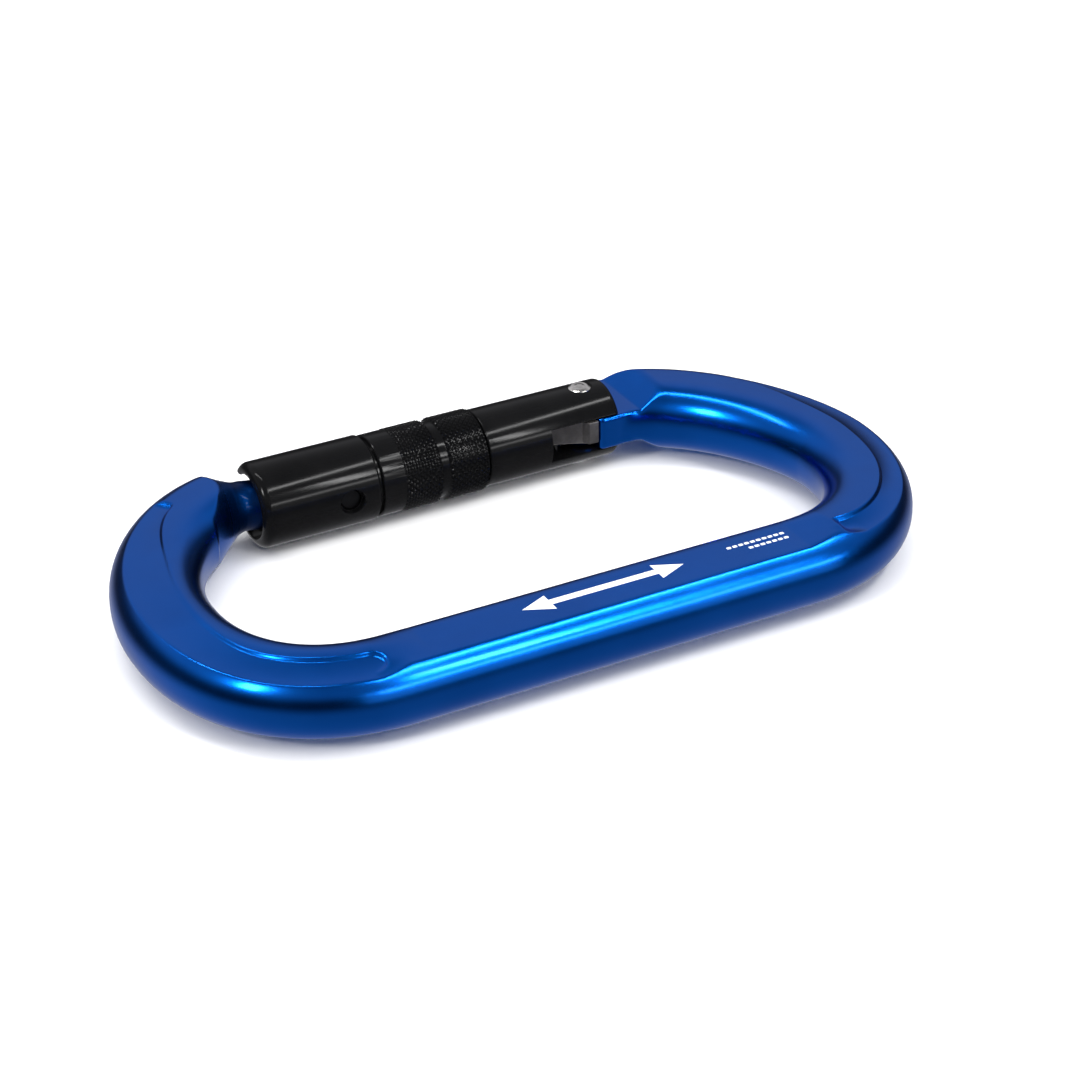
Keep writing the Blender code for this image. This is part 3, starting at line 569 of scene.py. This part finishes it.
class Place:
    """Where a section lies: its centre, its position along its bow, and the surfaces that cut it."""

    def __init__(self, centre, zone, along, inward=Vector((0.0, -1.0)), stretch=1.0):
        self.centre, self.zone, self.along = centre, zone, along
        self.inward = inward * stretch
        if zone == "spine":
            self.crease, self.floor, self.step = SPINE_CREASE, FLAT_Z, 0.0
        else:
            self.crease, self.floor, self.step = (through(knots, along) for knots in TRACKS[zone])

    def track_share(self, offset):
        """1 on the floor of the stepped track, 0 outside it; the track runs out softly on its outer side."""
        x = self.centre.x
        if self.zone == "spine":
            return 0.0
        if self.zone == "nose":
            middle = self.crease - TRACK_END_ROUND
            end = x - NOSE_TRACK_X + TRACK_END_ROUND
            if self.centre.y > 0.0:
                start = 0.4 * (self.along - NOSE_TRACK_START - 0.10 * offset)
                depth = inside_corner(self.crease - offset, start, 0.5)
            elif end > 0.0:
                depth = TRACK_END_ROUND - math.hypot(end, offset - middle)
            else:
                depth = self.crease - offset
            run_out = smooth(x, NOSE_TRACK_X + 2.3, NOSE_TRACK_X - 1.9)
        else:
            if self.centre.y > 0.0:
                depth = self.crease - offset
            else:
                depth = inside_corner(self.crease - offset, 0.5 * (x - HINGE_TRACK_X - 0.15 * offset), 0.35)
            run_out = smooth(x, HINGE_TRACK_X - 2.5, HINGE_TRACK_X + 2.5)
        step = smooth(depth, 0.0, STEP_WIDTH)
        if self.centre.y > 0.0:
            return step
        inner = smooth(offset, -4.2, -1.6)
        return inner * step + (1.0 - inner) * run_out

    def untouched(self, offset):
        """Height of the crest beside the track, or of the spine's flat."""
        x = self.centre.x
        if self.zone == "spine" or self.centre.y < 0.0:
            left = ramp(x, FLAT_X[0], FLAT_X[0] - 6.5)
            right = ramp(x, FLAT_X[1], FLAT_X[1] + 5.5)
            rise = left * smooth(offset, -3.6, 1.8) + right
            return FLAT_Z + (CREST_Z - FLAT_Z) * min(rise, 1.0)
        if x > 0.0:
            run = max(x + self.inward.x * offset - SHOULDER_X, 0.0)
            return soft_min(CREST_Z, TONGUE_Z + run / SHOULDER_RAMP * (CREST_Z + 0.1 - TONGUE_Z), 0.5)
        return CREST_Z

    def cap(self, offset):
        crest = self.untouched(offset)
        t = ramp(offset, -bar_offset(self.floor), self.crease)
        floor = min(self.floor + (CREST_Z - self.step - self.floor) * t * t, crest)
        return crest + (floor - crest) * self.track_share(offset)

    def height(self, offset):
        sharp = 0.16 if offset < 0.0 else 0.55
        return soft_min(bar_round(offset), self.cap(offset), sharp)


SIDE_POINTS, FLOOR_POINTS, STEP_POINTS, BEAD_POINTS = 17, 15, 8, 14


def eased(start, end, count):
    """Values from start to end, close together near both ends; the end is left out."""
    return [start + (end - start) * 0.5 * (1.0 - math.cos(math.pi * i / count)) for i in range(count)]


def half_section(place):
    """(offset, height) points from the outer to the inner side of the bar."""
    outer, inner = -4.0, 4.0
    for _ in range(4):
        outer = -bar_offset(min(place.cap(outer), 5.2))
        inner = bar_offset(min(place.cap(inner), 5.2))
    crease = min(max(place.crease, outer + 1.2), inner - 2.0)
    quarter = 0.5 * math.pi

    def side(limit, sign):
        end = math.acos(min(abs(limit) / BAR_HALF_WIDTH, 1.0) ** (BAR_POWER / 2.0))
        angles = [end * math.sin(quarter * i / SIDE_POINTS) for i in range(SIDE_POINTS)]
        return [sign * BAR_HALF_WIDTH * math.cos(angle) ** (2.0 / BAR_POWER) for angle in angles]

    offsets = side(outer, -1.0) + eased(outer, crease - STEP_WIDTH, FLOOR_POINTS)
    offsets += [crease - STEP_WIDTH * (1.0 - i / STEP_POINTS) for i in range(STEP_POINTS)]
    offsets += eased(crease, inner, BEAD_POINTS) + [inner] + list(reversed(side(inner, 1.0)))
    points = [(offset, place.height(offset)) for offset in offsets]
    points[0] = (-BAR_HALF_WIDTH, 0.0)
    points[-1] = (BAR_HALF_WIDTH, 0.0)
    return points


# ---- bar: nose, neck and tongue ------------------------------------------------------------------
def neck_limit(x):
    if x > TIP_X - 0.85:
        return TIP_RADIUS
    depth, opening = max(NECK_FLARE_X - x, 0.0), max(NECK_CUT_END_X - x, 0.0)
    flare = NECK_FLARE_SLOPE * (math.hypot(depth, NECK_FLARE_ROUND) - NECK_FLARE_ROUND)
    return NECK_RADIUS + flare + 3.0 * opening ** 2


def neck_offset(x):
    shift = NECK_OFFSET * smooth(x, BARREL_X[0] + 1.5, BARREL_X[0] - 1.0)
    return shift - NECK_LEAN * max(NECK_LEAN_X - x, 0.0)


def turn_neck(point):
    """Pull a point of the bar in to the turned neck, and the nose to its key."""
    x, y, z = point
    axis_y = GATE_Y + neck_offset(x)
    reach = math.hypot(y - axis_y, z)
    scale = min(1.0, neck_limit(x) / reach) if reach > 0.0 else 1.0
    y, z = axis_y + (y - axis_y) * scale, z * scale
    if x > TIP_X:
        bulb = math.sqrt(max(KEY_RADIUS ** 2 - (x - KEY_X) ** 2, 0.0))
        limit = max(bulb, KEY_WEB if x < KEY_X else 0.0, 0.12)
        z = max(-limit, min(limit, z))
        y = max(y, GATE_Y - KEY_INNER_REACH)
    return (x, y, z)


def block_shape(x):
    """Outer and inner reach of the tongue from the gate axis at x."""
    reach = x - PIVOT_X
    face = CAM_X - CAM_RADIUS
    if reach < face:
        half = math.sqrt(max(TONGUE_LOBE ** 2 - reach ** 2, 0.15 ** 2))
        return half, half
    if reach < CAM_X:
        angle = math.asin(min((CAM_X - reach) / CAM_RADIUS, 1.0))
        inner = CAM_Y + (TONGUE_INNER - CAM_Y) * math.cos(angle)
    else:
        inner = TONGUE_INNER
    taper = max(reach - 2.0, 0.0) / (SHOULDER_X - PIVOT_X - 2.0)
    outer = TONGUE_LOBE + 0.05 + (TONGUE_OUTER - TONGUE_LOBE - 0.05) * min(taper, 1.0) ** 1.5
    return outer, inner


def block_section(x, count):
    """(offset, height) points of the flat tongue with rounded edges, as many as a bar section has."""
    outer, inner = block_shape(x)
    edge, turns = 0.45, (0.0, 0.4, 0.8, 1.2, 0.5 * math.pi)
    path = [(-outer, 0.0)]
    path += [(-outer + edge - edge * math.cos(a), TONGUE_Z - edge + edge * math.sin(a)) for a in turns]
    path += [(inner - edge + edge * math.sin(a), TONGUE_Z - edge + edge * math.cos(a)) for a in turns]
    path.append((inner, 0.0))
    top = resampled(path[5:7], count - 2 * SIDE_POINTS - 1)
    return resampled(path[:6], SIDE_POINTS)[:-1] + top + resampled(path[6:], SIDE_POINTS)[1:]


def bar_places():
    """Where the bar's sections lie, from the top of the nose bow round to the foot of the tongue."""
    nose = bow_line(NOSE_BOW, -1.0)
    hinge = list(reversed(bow_line(HINGE_BOW, 1.0)))
    spine_x = spaced(NOSE_BOW["x"], -24.0, BOW_SPACING) + spaced(-24.0, 26.5, 1.2)
    spine_x += spaced(26.5, HINGE_BOW["x"], BOW_SPACING)
    from_spine = lengths_along(hinge)
    stops = [("nose", point, along) for point, along in zip(nose[:-1], lengths_along(nose))]
    stops += [("spine", Vector((x, SPINE_Y)), 0.0) for x in spine_x]
    stops += [("hinge", point, from_spine[-1] - along) for point, along in zip(hinge, from_spine)]
    places = []
    for i, (zone, point, along) in enumerate(stops):
        before, after = stops[max(i - 1, 0)][1], stops[min(i + 1, len(stops) - 1)][1]
        direction, stretch = (after - before).normalized(), 1.0
        near_tongue = zone == "hinge" and point.y > 0.0
        if near_tongue and point.x < FAN_X[0]:
            break
        if near_tongue and point.x < FAN_X[1]:
            across = Vector((-1.0, 0.0)).lerp(direction, ramp(point.x, *FAN_X)).normalized()
            direction, stretch = across, 1.0 / across.dot(direction)
        places.append(Place(point, zone, along, Vector((-direction.y, direction.x)), stretch))
    return places


def body_stations():
    """(centre, inward step, half section) from the nose's key round to the end of the tongue."""
    down = Vector((0.0, -1.0))
    plain = half_section(Place(Vector((NOSE_BOW["x"], NOSE_BOW["top_y"])), "nose", 0.0))
    key_end = KEY_X + KEY_RADIUS - 0.01
    neck_x = spaced(key_end, TIP_X, 0.2) + [TIP_X + 0.01] + spaced(TIP_X, NOSE_BOW["x"], 0.2)
    stations = [(Vector((x, NOSE_BOW["top_y"])), down, plain) for x in neck_x]
    stations += [(place.centre, place.inward, half_section(place)) for place in bar_places()]

    last = stations[-1][0]
    bar_end = half_section(Place(last, "hinge", 0.0))
    cam_x, face_x = PIVOT_X + CAM_X, PIVOT_X + CAM_X - CAM_RADIUS
    tongue_x = spaced(last.x - 0.25, cam_x, 0.3) + spaced(cam_x, face_x, 0.12)
    tongue_x += spaced(face_x - 0.01, PIVOT_X - TONGUE_LOBE, 0.18)
    for x in tongue_x:
        centre_y = GATE_Y + (last.y - GATE_Y) * ramp(x, SHOULDER_X - 4.0, last.x)
        amount = smooth(x, last.x, last.x - 2.5)
        section = [(a[0] + (b[0] - a[0]) * amount, a[1] + (b[1] - a[1]) * amount)
                   for a, b in zip(bar_end, block_section(x, len(plain)))]
        stations.append((Vector((x, centre_y)), down, section))
    return stations


def make_body():
    """The forged bar in one skin, with the tongue's rivet hole cut through."""
    mesh_data = bmesh.new()
    rings = []
    for centre, inward, section in body_stations():
        half = []
        for offset, height in section:
            place = centre + inward * offset
            point = (place.x, place.y, height)
            if place.y > 0.0 and place.x < 0.0:
                point = turn_neck(point)
            half.append(point)
        ring = [mesh_data.verts.new(point) for point in half]
        ring += [mesh_data.verts.new((x, y, -z)) for x, y, z in reversed(half[1:-1])]
        rings.append(ring)
    for first, second in zip(rings, rings[1:]):
        bridge(mesh_data, first, second)
    mesh_data.faces.new(rings[0])
    mesh_data.faces.new(rings[-1])
    bmesh.ops.recalc_face_normals(mesh_data, faces=mesh_data.faces)
    hole = RIVET_RADIUS + 0.05
    body = carve(mesh_data, [post([(-9.0, 0.0, 0), (-9.0, hole, 0), (9.0, hole, 0), (9.0, 0.0, 0)],
                                  PIVOT_X, GATE_Y, "Z")])
    return add_piece("body", body, BLUE, "frame", ["body_frame"], sharp=38.0)


# ---- gate ----------------------------------------------------------------------------------------
def keyhole_outline():
    mouth, pocket = KEY_WEB + KEYHOLE_GAP, KEY_RADIUS + KEYHOLE_GAP
    front = BARREL_X[0]
    opening = math.degrees(math.asin(mouth / pocket))
    outline = [(front, -mouth)] + arc((KEY_X, 0.0), pocket, 180.0 + opening, 270.0, 12)
    outline += arc((KEY_X + 0.15, 0.0), pocket, 270.0, 450.0, 40)
    return outline + arc((KEY_X, 0.0), pocket, 90.0, 180.0 - opening, 12) + [(front, mouth)]


def pin_window():
    """Annular sector that the guide pin sweeps in the stem."""
    half_width = math.degrees(math.asin((PIN_RADIUS + 0.12) / PIN_TIP_RADIUS))
    start, end = 180.0 - half_width, 270.0 + half_width
    outline = arc((GATE_Y, 0.0), STEM_RADIUS + 1.0, start, end, 40)
    outline += arc((GATE_Y, 0.0), WINDOW_DEPTH_RADIUS, end, start, 40)
    reach = PIN_RADIUS + 0.15
    return extruded(outline, PIN_X - frame_range("sleeve_slide") - reach, PIN_X + reach, "X")


def frame_range(name):
    """A slide's travel in millimetres."""
    joint = next(joint for joint in frame["joints"] if joint["name"] == name)
    return joint["range_m"][1] / MM


def flared_slot(half_gap, radius, flare):
    """(y, z) section of a slot right through a tube, with its mouths chamfered."""
    lip = math.sqrt(radius ** 2 - half_gap ** 2) - flare
    far = radius + 2.0
    wide = half_gap + far - lip
    low_side = [(GATE_Y - far, -wide), (GATE_Y - lip, -half_gap), (GATE_Y + lip, -half_gap),
                (GATE_Y + far, -wide)]
    return low_side + [(y, -z) for y, z in reversed(low_side)]


def make_gate():
    """Slim stem inside the sleeve, full tube behind it and a fork over the tongue."""
    corners = [
        (-25.50, 0.0, 0), (-25.50, STEM_RADIUS, 0.4), (RING_GROOVE_X[0], STEM_RADIUS, 0),
        (RING_GROOVE_X[0], RING_GROOVE_RADIUS, 0), (RING_GROOVE_X[1], RING_GROOVE_RADIUS, 0),
        (RING_GROOVE_X[1], STEM_RADIUS, 0), (TUBE_START_X, STEM_RADIUS, 0), (TUBE_START_X, TUBE_RADIUS, 0.22),
        (TUBE_END_X, TUBE_RADIUS, 0.75), (TUBE_END_X, 0.0, 0)]
    bore_end = FORK_ROOT_X + 0.5
    bore = [(SPRING_BORE_X, 0.0, 0), (SPRING_BORE_X, SPRING_BORE, 0), (PUSHER_RELIEF_X, SPRING_BORE, 0),
            (PUSHER_RELIEF_X, PUSHER_RELIEF, 0), (bore_end, PUSHER_RELIEF, 0), (bore_end, 0.0, 0)]
    shank, head = RIVET_RADIUS + 0.03, RIVET_HEAD + 0.04
    top, rim, seat = 9.0, 5.45, RIVET_SEAT_Z - 0.03
    upper = [(seat, shank, 0), (seat, head, 0), (rim, head, 0), (top, head + top - rim, 0), (top, 0.0, 0)]
    lower = [(-height, radius, fillet) for height, radius, fillet in reversed(upper)]
    hole = post(lower + upper, PIVOT_X, GATE_Y, "Z")
    key = extruded(keyhole_outline(), GATE_Y - KEY_INNER_REACH - 0.2, GATE_Y + 8.0, "Y")
    fork = extruded(flared_slot(FORK_HALF_GAP, TUBE_RADIUS, 0.14), FORK_ROOT_X, 36.0, "X")
    gate = carve(turned(corners), [key, pin_window(), turned(bore, 64), fork, hole])
    return add_piece("gate", gate, BLACK, "gate", ["gate_arm"])


def make_rivet():
    """Hinge rivet: domed heads, each with the shallow ring that the rivet set leaves."""
    head = [(RIVET_SEAT_Z, RIVET_RADIUS, 0), (RIVET_SEAT_Z, RIVET_HEAD, 0),
            (RIVET_TOP_Z - 0.34, RIVET_HEAD, 0.12), (RIVET_TOP_Z - 0.08, 1.18, 0.25),
            (RIVET_TOP_Z - 0.10, 0.80, 0.2), (RIVET_TOP_Z, 0.42, 0.3), (RIVET_TOP_Z, 0.0, 0)]
    below = [(-height, radius, fillet) for height, radius, fillet in reversed(head)]
    rivet = post(below + head, PIVOT_X, GATE_Y, "Z")
    return add_piece("rivet", rivet, BRIGHT, "gate", ["hinge_rivet"])


def make_pusher():
    """Flat plate in the fork with a round stem that carries the gate spring."""
    face = PIVOT_X + CAM_X - CAM_RADIUS - PUSHER_FACE_GAP
    outline = [(15.20, 1.90), (15.20, -1.90), (16.00, -2.15), (21.30, -4.20), (21.95, -5.15)]
    outline = [(x, GATE_Y + y) for x, y in outline]
    outline += [(face - 0.15, GATE_Y - 5.20), (face, GATE_Y - 5.05), (face, GATE_Y - 3.75)]
    outline += arc((PIVOT_X, GATE_Y), TONGUE_LOBE + PUSHER_LOBE_GAP, 257.0, 148.0, 24)
    plate = extruded(outline, *PUSHER_PLATE_Z, "Z")
    edges = [edge for edge in plate.edges if abs(edge.verts[0].co.z - edge.verts[1].co.z) < 1e-6]
    bmesh.ops.bevel(plate, geom=edges, offset=0.10, segments=3, profile=0.5, affect="EDGES")
    rod, collar, collar_x = 1.05, 2.10, SPRING_SEAT_X + 0.10
    stem = turned([(6.00, 0.0, 0), (6.00, rod, 0.3), (collar_x, rod, 0), (collar_x, collar, 0.1),
                   (15.30, collar, 0.1), (15.60, 1.30, 0), (16.20, 0.0, 0)], 64)
    return add_piece("pusher", carve(plate, [stem], "UNION"), GREY, "pusher", ["spring_pusher"])


def make_coil(name, start, end, mean, wire, turns, node):
    """Compression spring with one dead turn at each end."""
    per_turn, sides = 40, 12
    dead_pitch = 2.0 * wire * 1.06
    first, last = start + wire, end - wire
    pitch = (last - first - 2.0 * dead_pitch) / (turns - 2.0)
    mesh_data = bmesh.new()
    rings = []
    for i in range(int(turns * per_turn) + 1):
        turn = i / per_turn
        head, tail = min(turn, 1.0), max(turn - (turns - 1.0), 0.0)
        angle = 2.0 * math.pi * turn
        outward = Vector((0.0, math.cos(angle), math.sin(angle)))
        centre = Vector((first + dead_pitch * (head + tail) + pitch * (turn - head - tail), GATE_Y, 0.0))
        centre += mean * outward
        ring = []
        for k in range(sides):
            around = 2.0 * math.pi * k / sides
            ring.append(mesh_data.verts.new(centre + wire * (math.cos(around) * outward
                                                             + math.sin(around) * Vector((1.0, 0.0, 0.0)))))
        rings.append(ring)
    for a, b in zip(rings, rings[1:]):
        bridge(mesh_data, a, b)
    mesh_data.faces.new(rings[0])
    mesh_data.faces.new(rings[-1])
    coil = add_piece(name, mesh_data, WIRE, "gate", [node])
    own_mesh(coil)
    return coil


# ---- sleeve --------------------------------------------------------------------------------------
def make_barrel():
    """Front of the sleeve, with the slot that lets the nose out and the guide pin's hole."""
    front, back = BARREL_X
    wall, socket = front + BARREL_WALL, SPIGOT_X - 0.40
    corners = [
        (front, BARREL_MOUTH, 0.30), (front, BARREL_RADIUS, 1.25), (back - 0.28, BARREL_RADIUS, 0.15),
        (back, BARREL_RADIUS - 0.26, 0.08), (back, SOCKET_RADIUS, 0.08), (socket, SOCKET_RADIUS, 0),
        (socket, RUNNING_RADIUS, 0), (wall, RUNNING_RADIUS, 0), (wall, BARREL_MOUTH, 0.1)]
    flare = 0.15
    lip = math.sqrt(BARREL_RADIUS ** 2 - EXIT_SLOT_HALF ** 2) - flare
    wide = EXIT_SLOT_HALF + 3.0
    slot = [(GATE_Y, -EXIT_SLOT_HALF), (GATE_Y + lip, -EXIT_SLOT_HALF), (GATE_Y + lip + 3.0, -wide),
            (GATE_Y + lip + 3.0, wide), (GATE_Y + lip, EXIT_SLOT_HALF), (GATE_Y, EXIT_SLOT_HALF)]
    shelf, lead = BARREL_RADIUS - 0.90, BARREL_RADIUS - 0.16
    far, near, tight = 9.0, 3.0, PIN_RADIUS + 0.03
    depths = [(far, 0.0), (far, PIN_HOLE_RADIUS + far - lead), (lead, PIN_HOLE_RADIUS),
              (shelf, PIN_HOLE_RADIUS), (shelf, tight), (near, tight), (near, 0.0)]
    hole = post([(GATE_Y - depth, radius, 0) for depth, radius in depths], PIN_X, 0.0, "Y")
    barrel = carve(turned(corners, steps=8), [extruded(slot, front - 1.0, EXIT_SLOT_END_X, "X"), hole])
    return add_piece("barrel", barrel, BLACK, "sleeve", ["lock_barrel"])


def make_pin():
    head, tip = PIN_HEAD_RADIUS, PIN_TIP_RADIUS
    steps = [(GATE_Y - head, 0.0, 0), (GATE_Y - head, PIN_RADIUS, 0.2), (GATE_Y - tip, PIN_RADIUS, 0.2),
             (GATE_Y - tip, 0.0, 0)]
    pin = post(steps, PIN_X, 0.0, "Y")
    return add_piece("guide_pin_fine", pin, DARK, "sleeve", ["guide_pin"])


KNURL_COUNT = 42
KNURL_DEPTH = 0.26
KNURL_SPACING = 0.11           # between rings of points along the knurl
KNURL_FLAT = 0.45              # share of each diamond that keeps a flat top


def knurl_depth(x, angle):
    """Depth below the knurl's outer radius: two crossed families of V grooves."""
    pitch = 2.0 * math.pi * KNURL_RADIUS / KNURL_COUNT
    across, along = angle / (2.0 * math.pi) * KNURL_COUNT, x / pitch
    grooves = []
    for family in (across + along, across - along):
        part = abs((family % 1.0) - 0.5) * 2.0
        grooves.append(max(part - KNURL_FLAT, 0.0) / (1.0 - KNURL_FLAT))
    return KNURL_DEPTH * max(grooves)


def make_grip():
    """Rear of the sleeve: plain band, two knurled bands with a groove between, flange inside."""
    segments, chamfer, lip = KNURL_COUNT * 8, 0.20, 0.12
    (front, groove_start), (groove_end, back) = KNURLS_X

    def plain(*steps):
        return [(x, radius, False) for x, radius in steps]

    def knurled(start, end):
        length = end - start - 2.0 * lip
        count = round(length / KNURL_SPACING)
        return [(start + lip + length * i / count, KNURL_RADIUS, True) for i in range(count + 1)]

    stations = plain((SPIGOT_X, GRIP_BORE), (SPIGOT_X, SPIGOT_RADIUS), (GRIP_START_X, SPIGOT_RADIUS),
                     (GRIP_START_X, GRIP_RADIUS - chamfer), (GRIP_START_X + 0.06, GRIP_RADIUS - 0.07),
                     (GRIP_START_X + chamfer, GRIP_RADIUS), (front - 0.05, GRIP_RADIUS))
    stations += knurled(front, groove_start)
    stations += plain((groove_start + 0.5 * lip, GROOVE_RADIUS + 0.05), (groove_start + lip, GROOVE_RADIUS),
                      (groove_end - lip, GROOVE_RADIUS), (groove_end - 0.5 * lip, GROOVE_RADIUS + 0.05))
    stations += knurled(groove_end, back)
    stations += plain((back, KNURL_RADIUS - 0.24), (back, RUNNING_RADIUS), (FLANGE_X, RUNNING_RADIUS),
                      (FLANGE_X, GRIP_BORE))
    mesh_data = bmesh.new()
    rings = []
    for x, radius, has_knurl in stations:
        ring = []
        for i in range(segments):
            angle = 2.0 * math.pi * i / segments
            reach = radius - (knurl_depth(x, angle) if has_knurl else 0.0)
            ring.append(mesh_data.verts.new((x, GATE_Y + reach * math.cos(angle), reach * math.sin(angle))))
        rings.append(ring)
    for first, second in zip(rings, rings[1:] + rings[:1]):
        bridge(mesh_data, first, second)
    grip = add_piece("grip", mesh_data, BLACK, "sleeve", ["grip_sleeve"], sharp=24.0)
    grip.data.materials.append(KNURL_BLACK)
    for face in grip.data.polygons:
        x, y, z = face.center / MM
        outside = math.hypot(y - GATE_Y, z) > GRIP_BORE + 0.5
        if outside and any(start < x < end for start, end in KNURLS_X):
            face.material_index = 1
    return grip


# ---- printed marks -------------------------------------------------------------------------------
PRINT_THICKNESS = 0.012


def make_print():
    """Plain load-axis arrow and two rows of small blank marks on the flat, in white ink."""
    middle_y = SPINE_Y + 0.45
    arrow = [(-11.5, 0.0), (-7.6, 1.75), (-7.6, 0.55), (7.6, 0.55), (7.6, 1.75), (11.5, 0.0),
             (7.6, -1.75), (7.6, -0.55), (-7.6, -0.55), (-7.6, -1.75)]
    shapes = [[(x, middle_y + y) for x, y in arrow]]
    width, height, pitch = 0.60, 0.45, 0.88
    for first, count, low in ((18.3, 10, middle_y + 0.35), (20.9, 7, middle_y - 0.85)):
        for i in range(count):
            left, high = first + pitch * i, low + height
            shapes.append([(left, low), (left + width, low), (left + width, high), (left, high)])
    mesh_data = bmesh.new()
    for shape in shapes:
        base = FLAT_Z - 0.01
        lower = [mesh_data.verts.new((x, y, base)) for x, y in shape]
        upper = [mesh_data.verts.new((x, y, base + 0.01 + PRINT_THICKNESS)) for x, y in shape]
        bridge(mesh_data, lower, upper)
        mesh_data.faces.new(lower)
        mesh_data.faces.new(upper)
    return add_piece("printed_marks", mesh_data, WHITE, "frame")


# ---- stage ---------------------------------------------------------------------------------------
def make_floor():
    floor_z = cad_box[0].z
    mesh_data = bmesh.new()
    for x, y in ((-4.0, -4.0), (4.0, -4.0), (4.0, 4.0), (-4.0, 4.0)):
        mesh_data.verts.new((x / MM, y / MM, floor_z / MM))
    mesh_data.faces.new(mesh_data.verts[:])
    material = Nodes("floor_paper")
    tone = material.blend(material.noise(30.0), (0.86, 0.86, 0.86), (0.88, 0.88, 0.88))
    material.finish(tone, Roughness=0.9)
    floor = add_piece("floor", mesh_data, material.material, None)
    floor.visible_glossy = False


def make_light(name, place, size, power, glossy=True):
    """A soft rectangular light aimed at the origin; lengths in metres."""
    data = bpy.data.lights.new(name, "AREA")
    data.shape = "RECTANGLE"
    data.size, data.size_y = size
    data.energy = power
    light = bpy.data.objects.new(name, data)
    light.location = place
    light.rotation_mode = "QUATERNION"
    light.rotation_quaternion = (-Vector(place)).to_track_quat("-Z", "Y")
    light.visible_glossy = glossy
    bpy.context.scene.collection.objects.link(light)


# tones of the studio as (direction's Z or Y, tone)
WORLD_BY_HEIGHT = ((-1.0, 0.50), (-0.42, 0.50), (-0.10, 0.03), (0.18, 0.04), (0.46, 0.52), (0.62, 0.50),
                   (1.0, 0.22))
WORLD_BY_DEPTH = ((-1.0, 0.55), (-0.3, 0.70), (0.6, 1.0), (1.0, 1.0))


def make_world():
    """A studio seen in the metal: pale below, dark round the horizon, grey above and behind."""
    world = bpy.data.worlds.new("studio")
    world.use_nodes = True
    bpy.context.scene.world = world
    tree = world.node_tree
    place = tree.nodes.new("ShaderNodeTexCoord")
    split = tree.nodes.new("ShaderNodeSeparateXYZ")
    tree.links.new(place.outputs["Generated"], split.inputs["Vector"])

    def tones(axis, stops):
        spread = tree.nodes.new("ShaderNodeMapRange")
        spread.inputs["From Min"].default_value = -1.0
        tree.links.new(split.outputs[axis], spread.inputs["Value"])
        ramp_node = tree.nodes.new("ShaderNodeValToRGB")
        tree.links.new(spread.outputs["Result"], ramp_node.inputs["Fac"])
        elements = ramp_node.color_ramp.elements
        for direction, _ in stops[1:-1]:
            elements.new(0.5 + 0.5 * direction)
        for element, (direction, tone) in zip(elements, stops):
            element.position = 0.5 + 0.5 * direction
            element.color = (tone, tone, tone * 1.03, 1.0)
        return ramp_node.outputs["Color"]

    product = tree.nodes.new("ShaderNodeVectorMath")
    product.operation = "MULTIPLY"
    tree.links.new(tones("Z", WORLD_BY_HEIGHT), product.inputs[0])
    tree.links.new(tones("Y", WORLD_BY_DEPTH), product.inputs[1])
    tree.links.new(product.outputs["Vector"], tree.nodes["Background"].inputs["Color"])


CAMERA_AZIMUTH = -27.398       # degrees; 0 looks along +Y
CAMERA_ELEVATION = 29.669
CAMERA_ROLL = -1.045
CAMERA_TARGET = (2.125, -2.934, 0.0)
CAMERA_DISTANCE = 359.01
CAMERA_LENS = 90.61            # focal length on the sensor's width
CAMERA_SENSOR = 36.0


def make_camera():
    azimuth, elevation, roll = map(math.radians, (CAMERA_AZIMUTH, CAMERA_ELEVATION, CAMERA_ROLL))
    back = Vector((math.sin(azimuth) * math.cos(elevation), -math.cos(azimuth) * math.cos(elevation),
                   math.sin(elevation)))
    right = Vector((math.cos(azimuth), math.sin(azimuth), 0.0))
    up = back.cross(right)
    right, up = right * math.cos(roll) + up * math.sin(roll), up * math.cos(roll) - right * math.sin(roll)
    data = bpy.data.cameras.new("camera")
    data.sensor_width = CAMERA_SENSOR
    data.lens = CAMERA_LENS
    data.clip_start, data.clip_end = 0.01, 20.0
    camera = bpy.data.objects.new("camera", data)
    bpy.context.scene.collection.objects.link(camera)
    turn = Matrix((right, up, back)).transposed().to_4x4()
    camera.matrix_world = Matrix.Translation((Vector(CAMERA_TARGET) + back * CAMERA_DISTANCE) * MM) @ turn
    bpy.context.scene.camera = camera


def light_scene():
    make_light("ceiling", (0.0, 0.1, 1.2), (2.4, 2.4), 30.0, glossy=False)
    make_light("top_strip", (0.28, -0.28, 0.66), (0.60, 0.05), 2.2)
    make_light("front_strip", (0.28, -0.70, 0.26), (0.55, 0.06), 1.0)
    make_light("front_panel", (0.30, -1.00, 0.16), (0.90, 0.55), 1.1)
    make_light("left_strip", (-0.20, 0.20, 0.70), (0.06, 0.55), 1.6)
    make_light("right_lamp", (0.26, -0.56, 0.44), (0.05, 0.16), 0.9)
    make_light("left_lamp", (-0.64, -0.18, 0.48), (0.14, 0.18), 2.6)
    bpy.context.scene.view_settings.view_transform = "Standard"


# ---- assembly ------------------------------------------------------------------------------------
make_camera()
make_world()
light_scene()
make_floor()

make_body()
make_gate()
make_rivet()
make_pusher()
make_barrel()
make_pin()
make_grip()
make_print()
make_coil("gate_coil", SPRING_BORE_X + 0.20, SPRING_SEAT_X, 1.72, 0.32, 9.0, "gate_spring")
make_coil("sleeve_coil", -10.00, 3.55, 4.35, 0.33, 5.0, "sleeve_spring")
for node, material in (("retaining_ring", WIRE), ("thrust_washer", GREY)):
    nodes[node].data.materials.clear()
    nodes[node].data.materials.append(material)
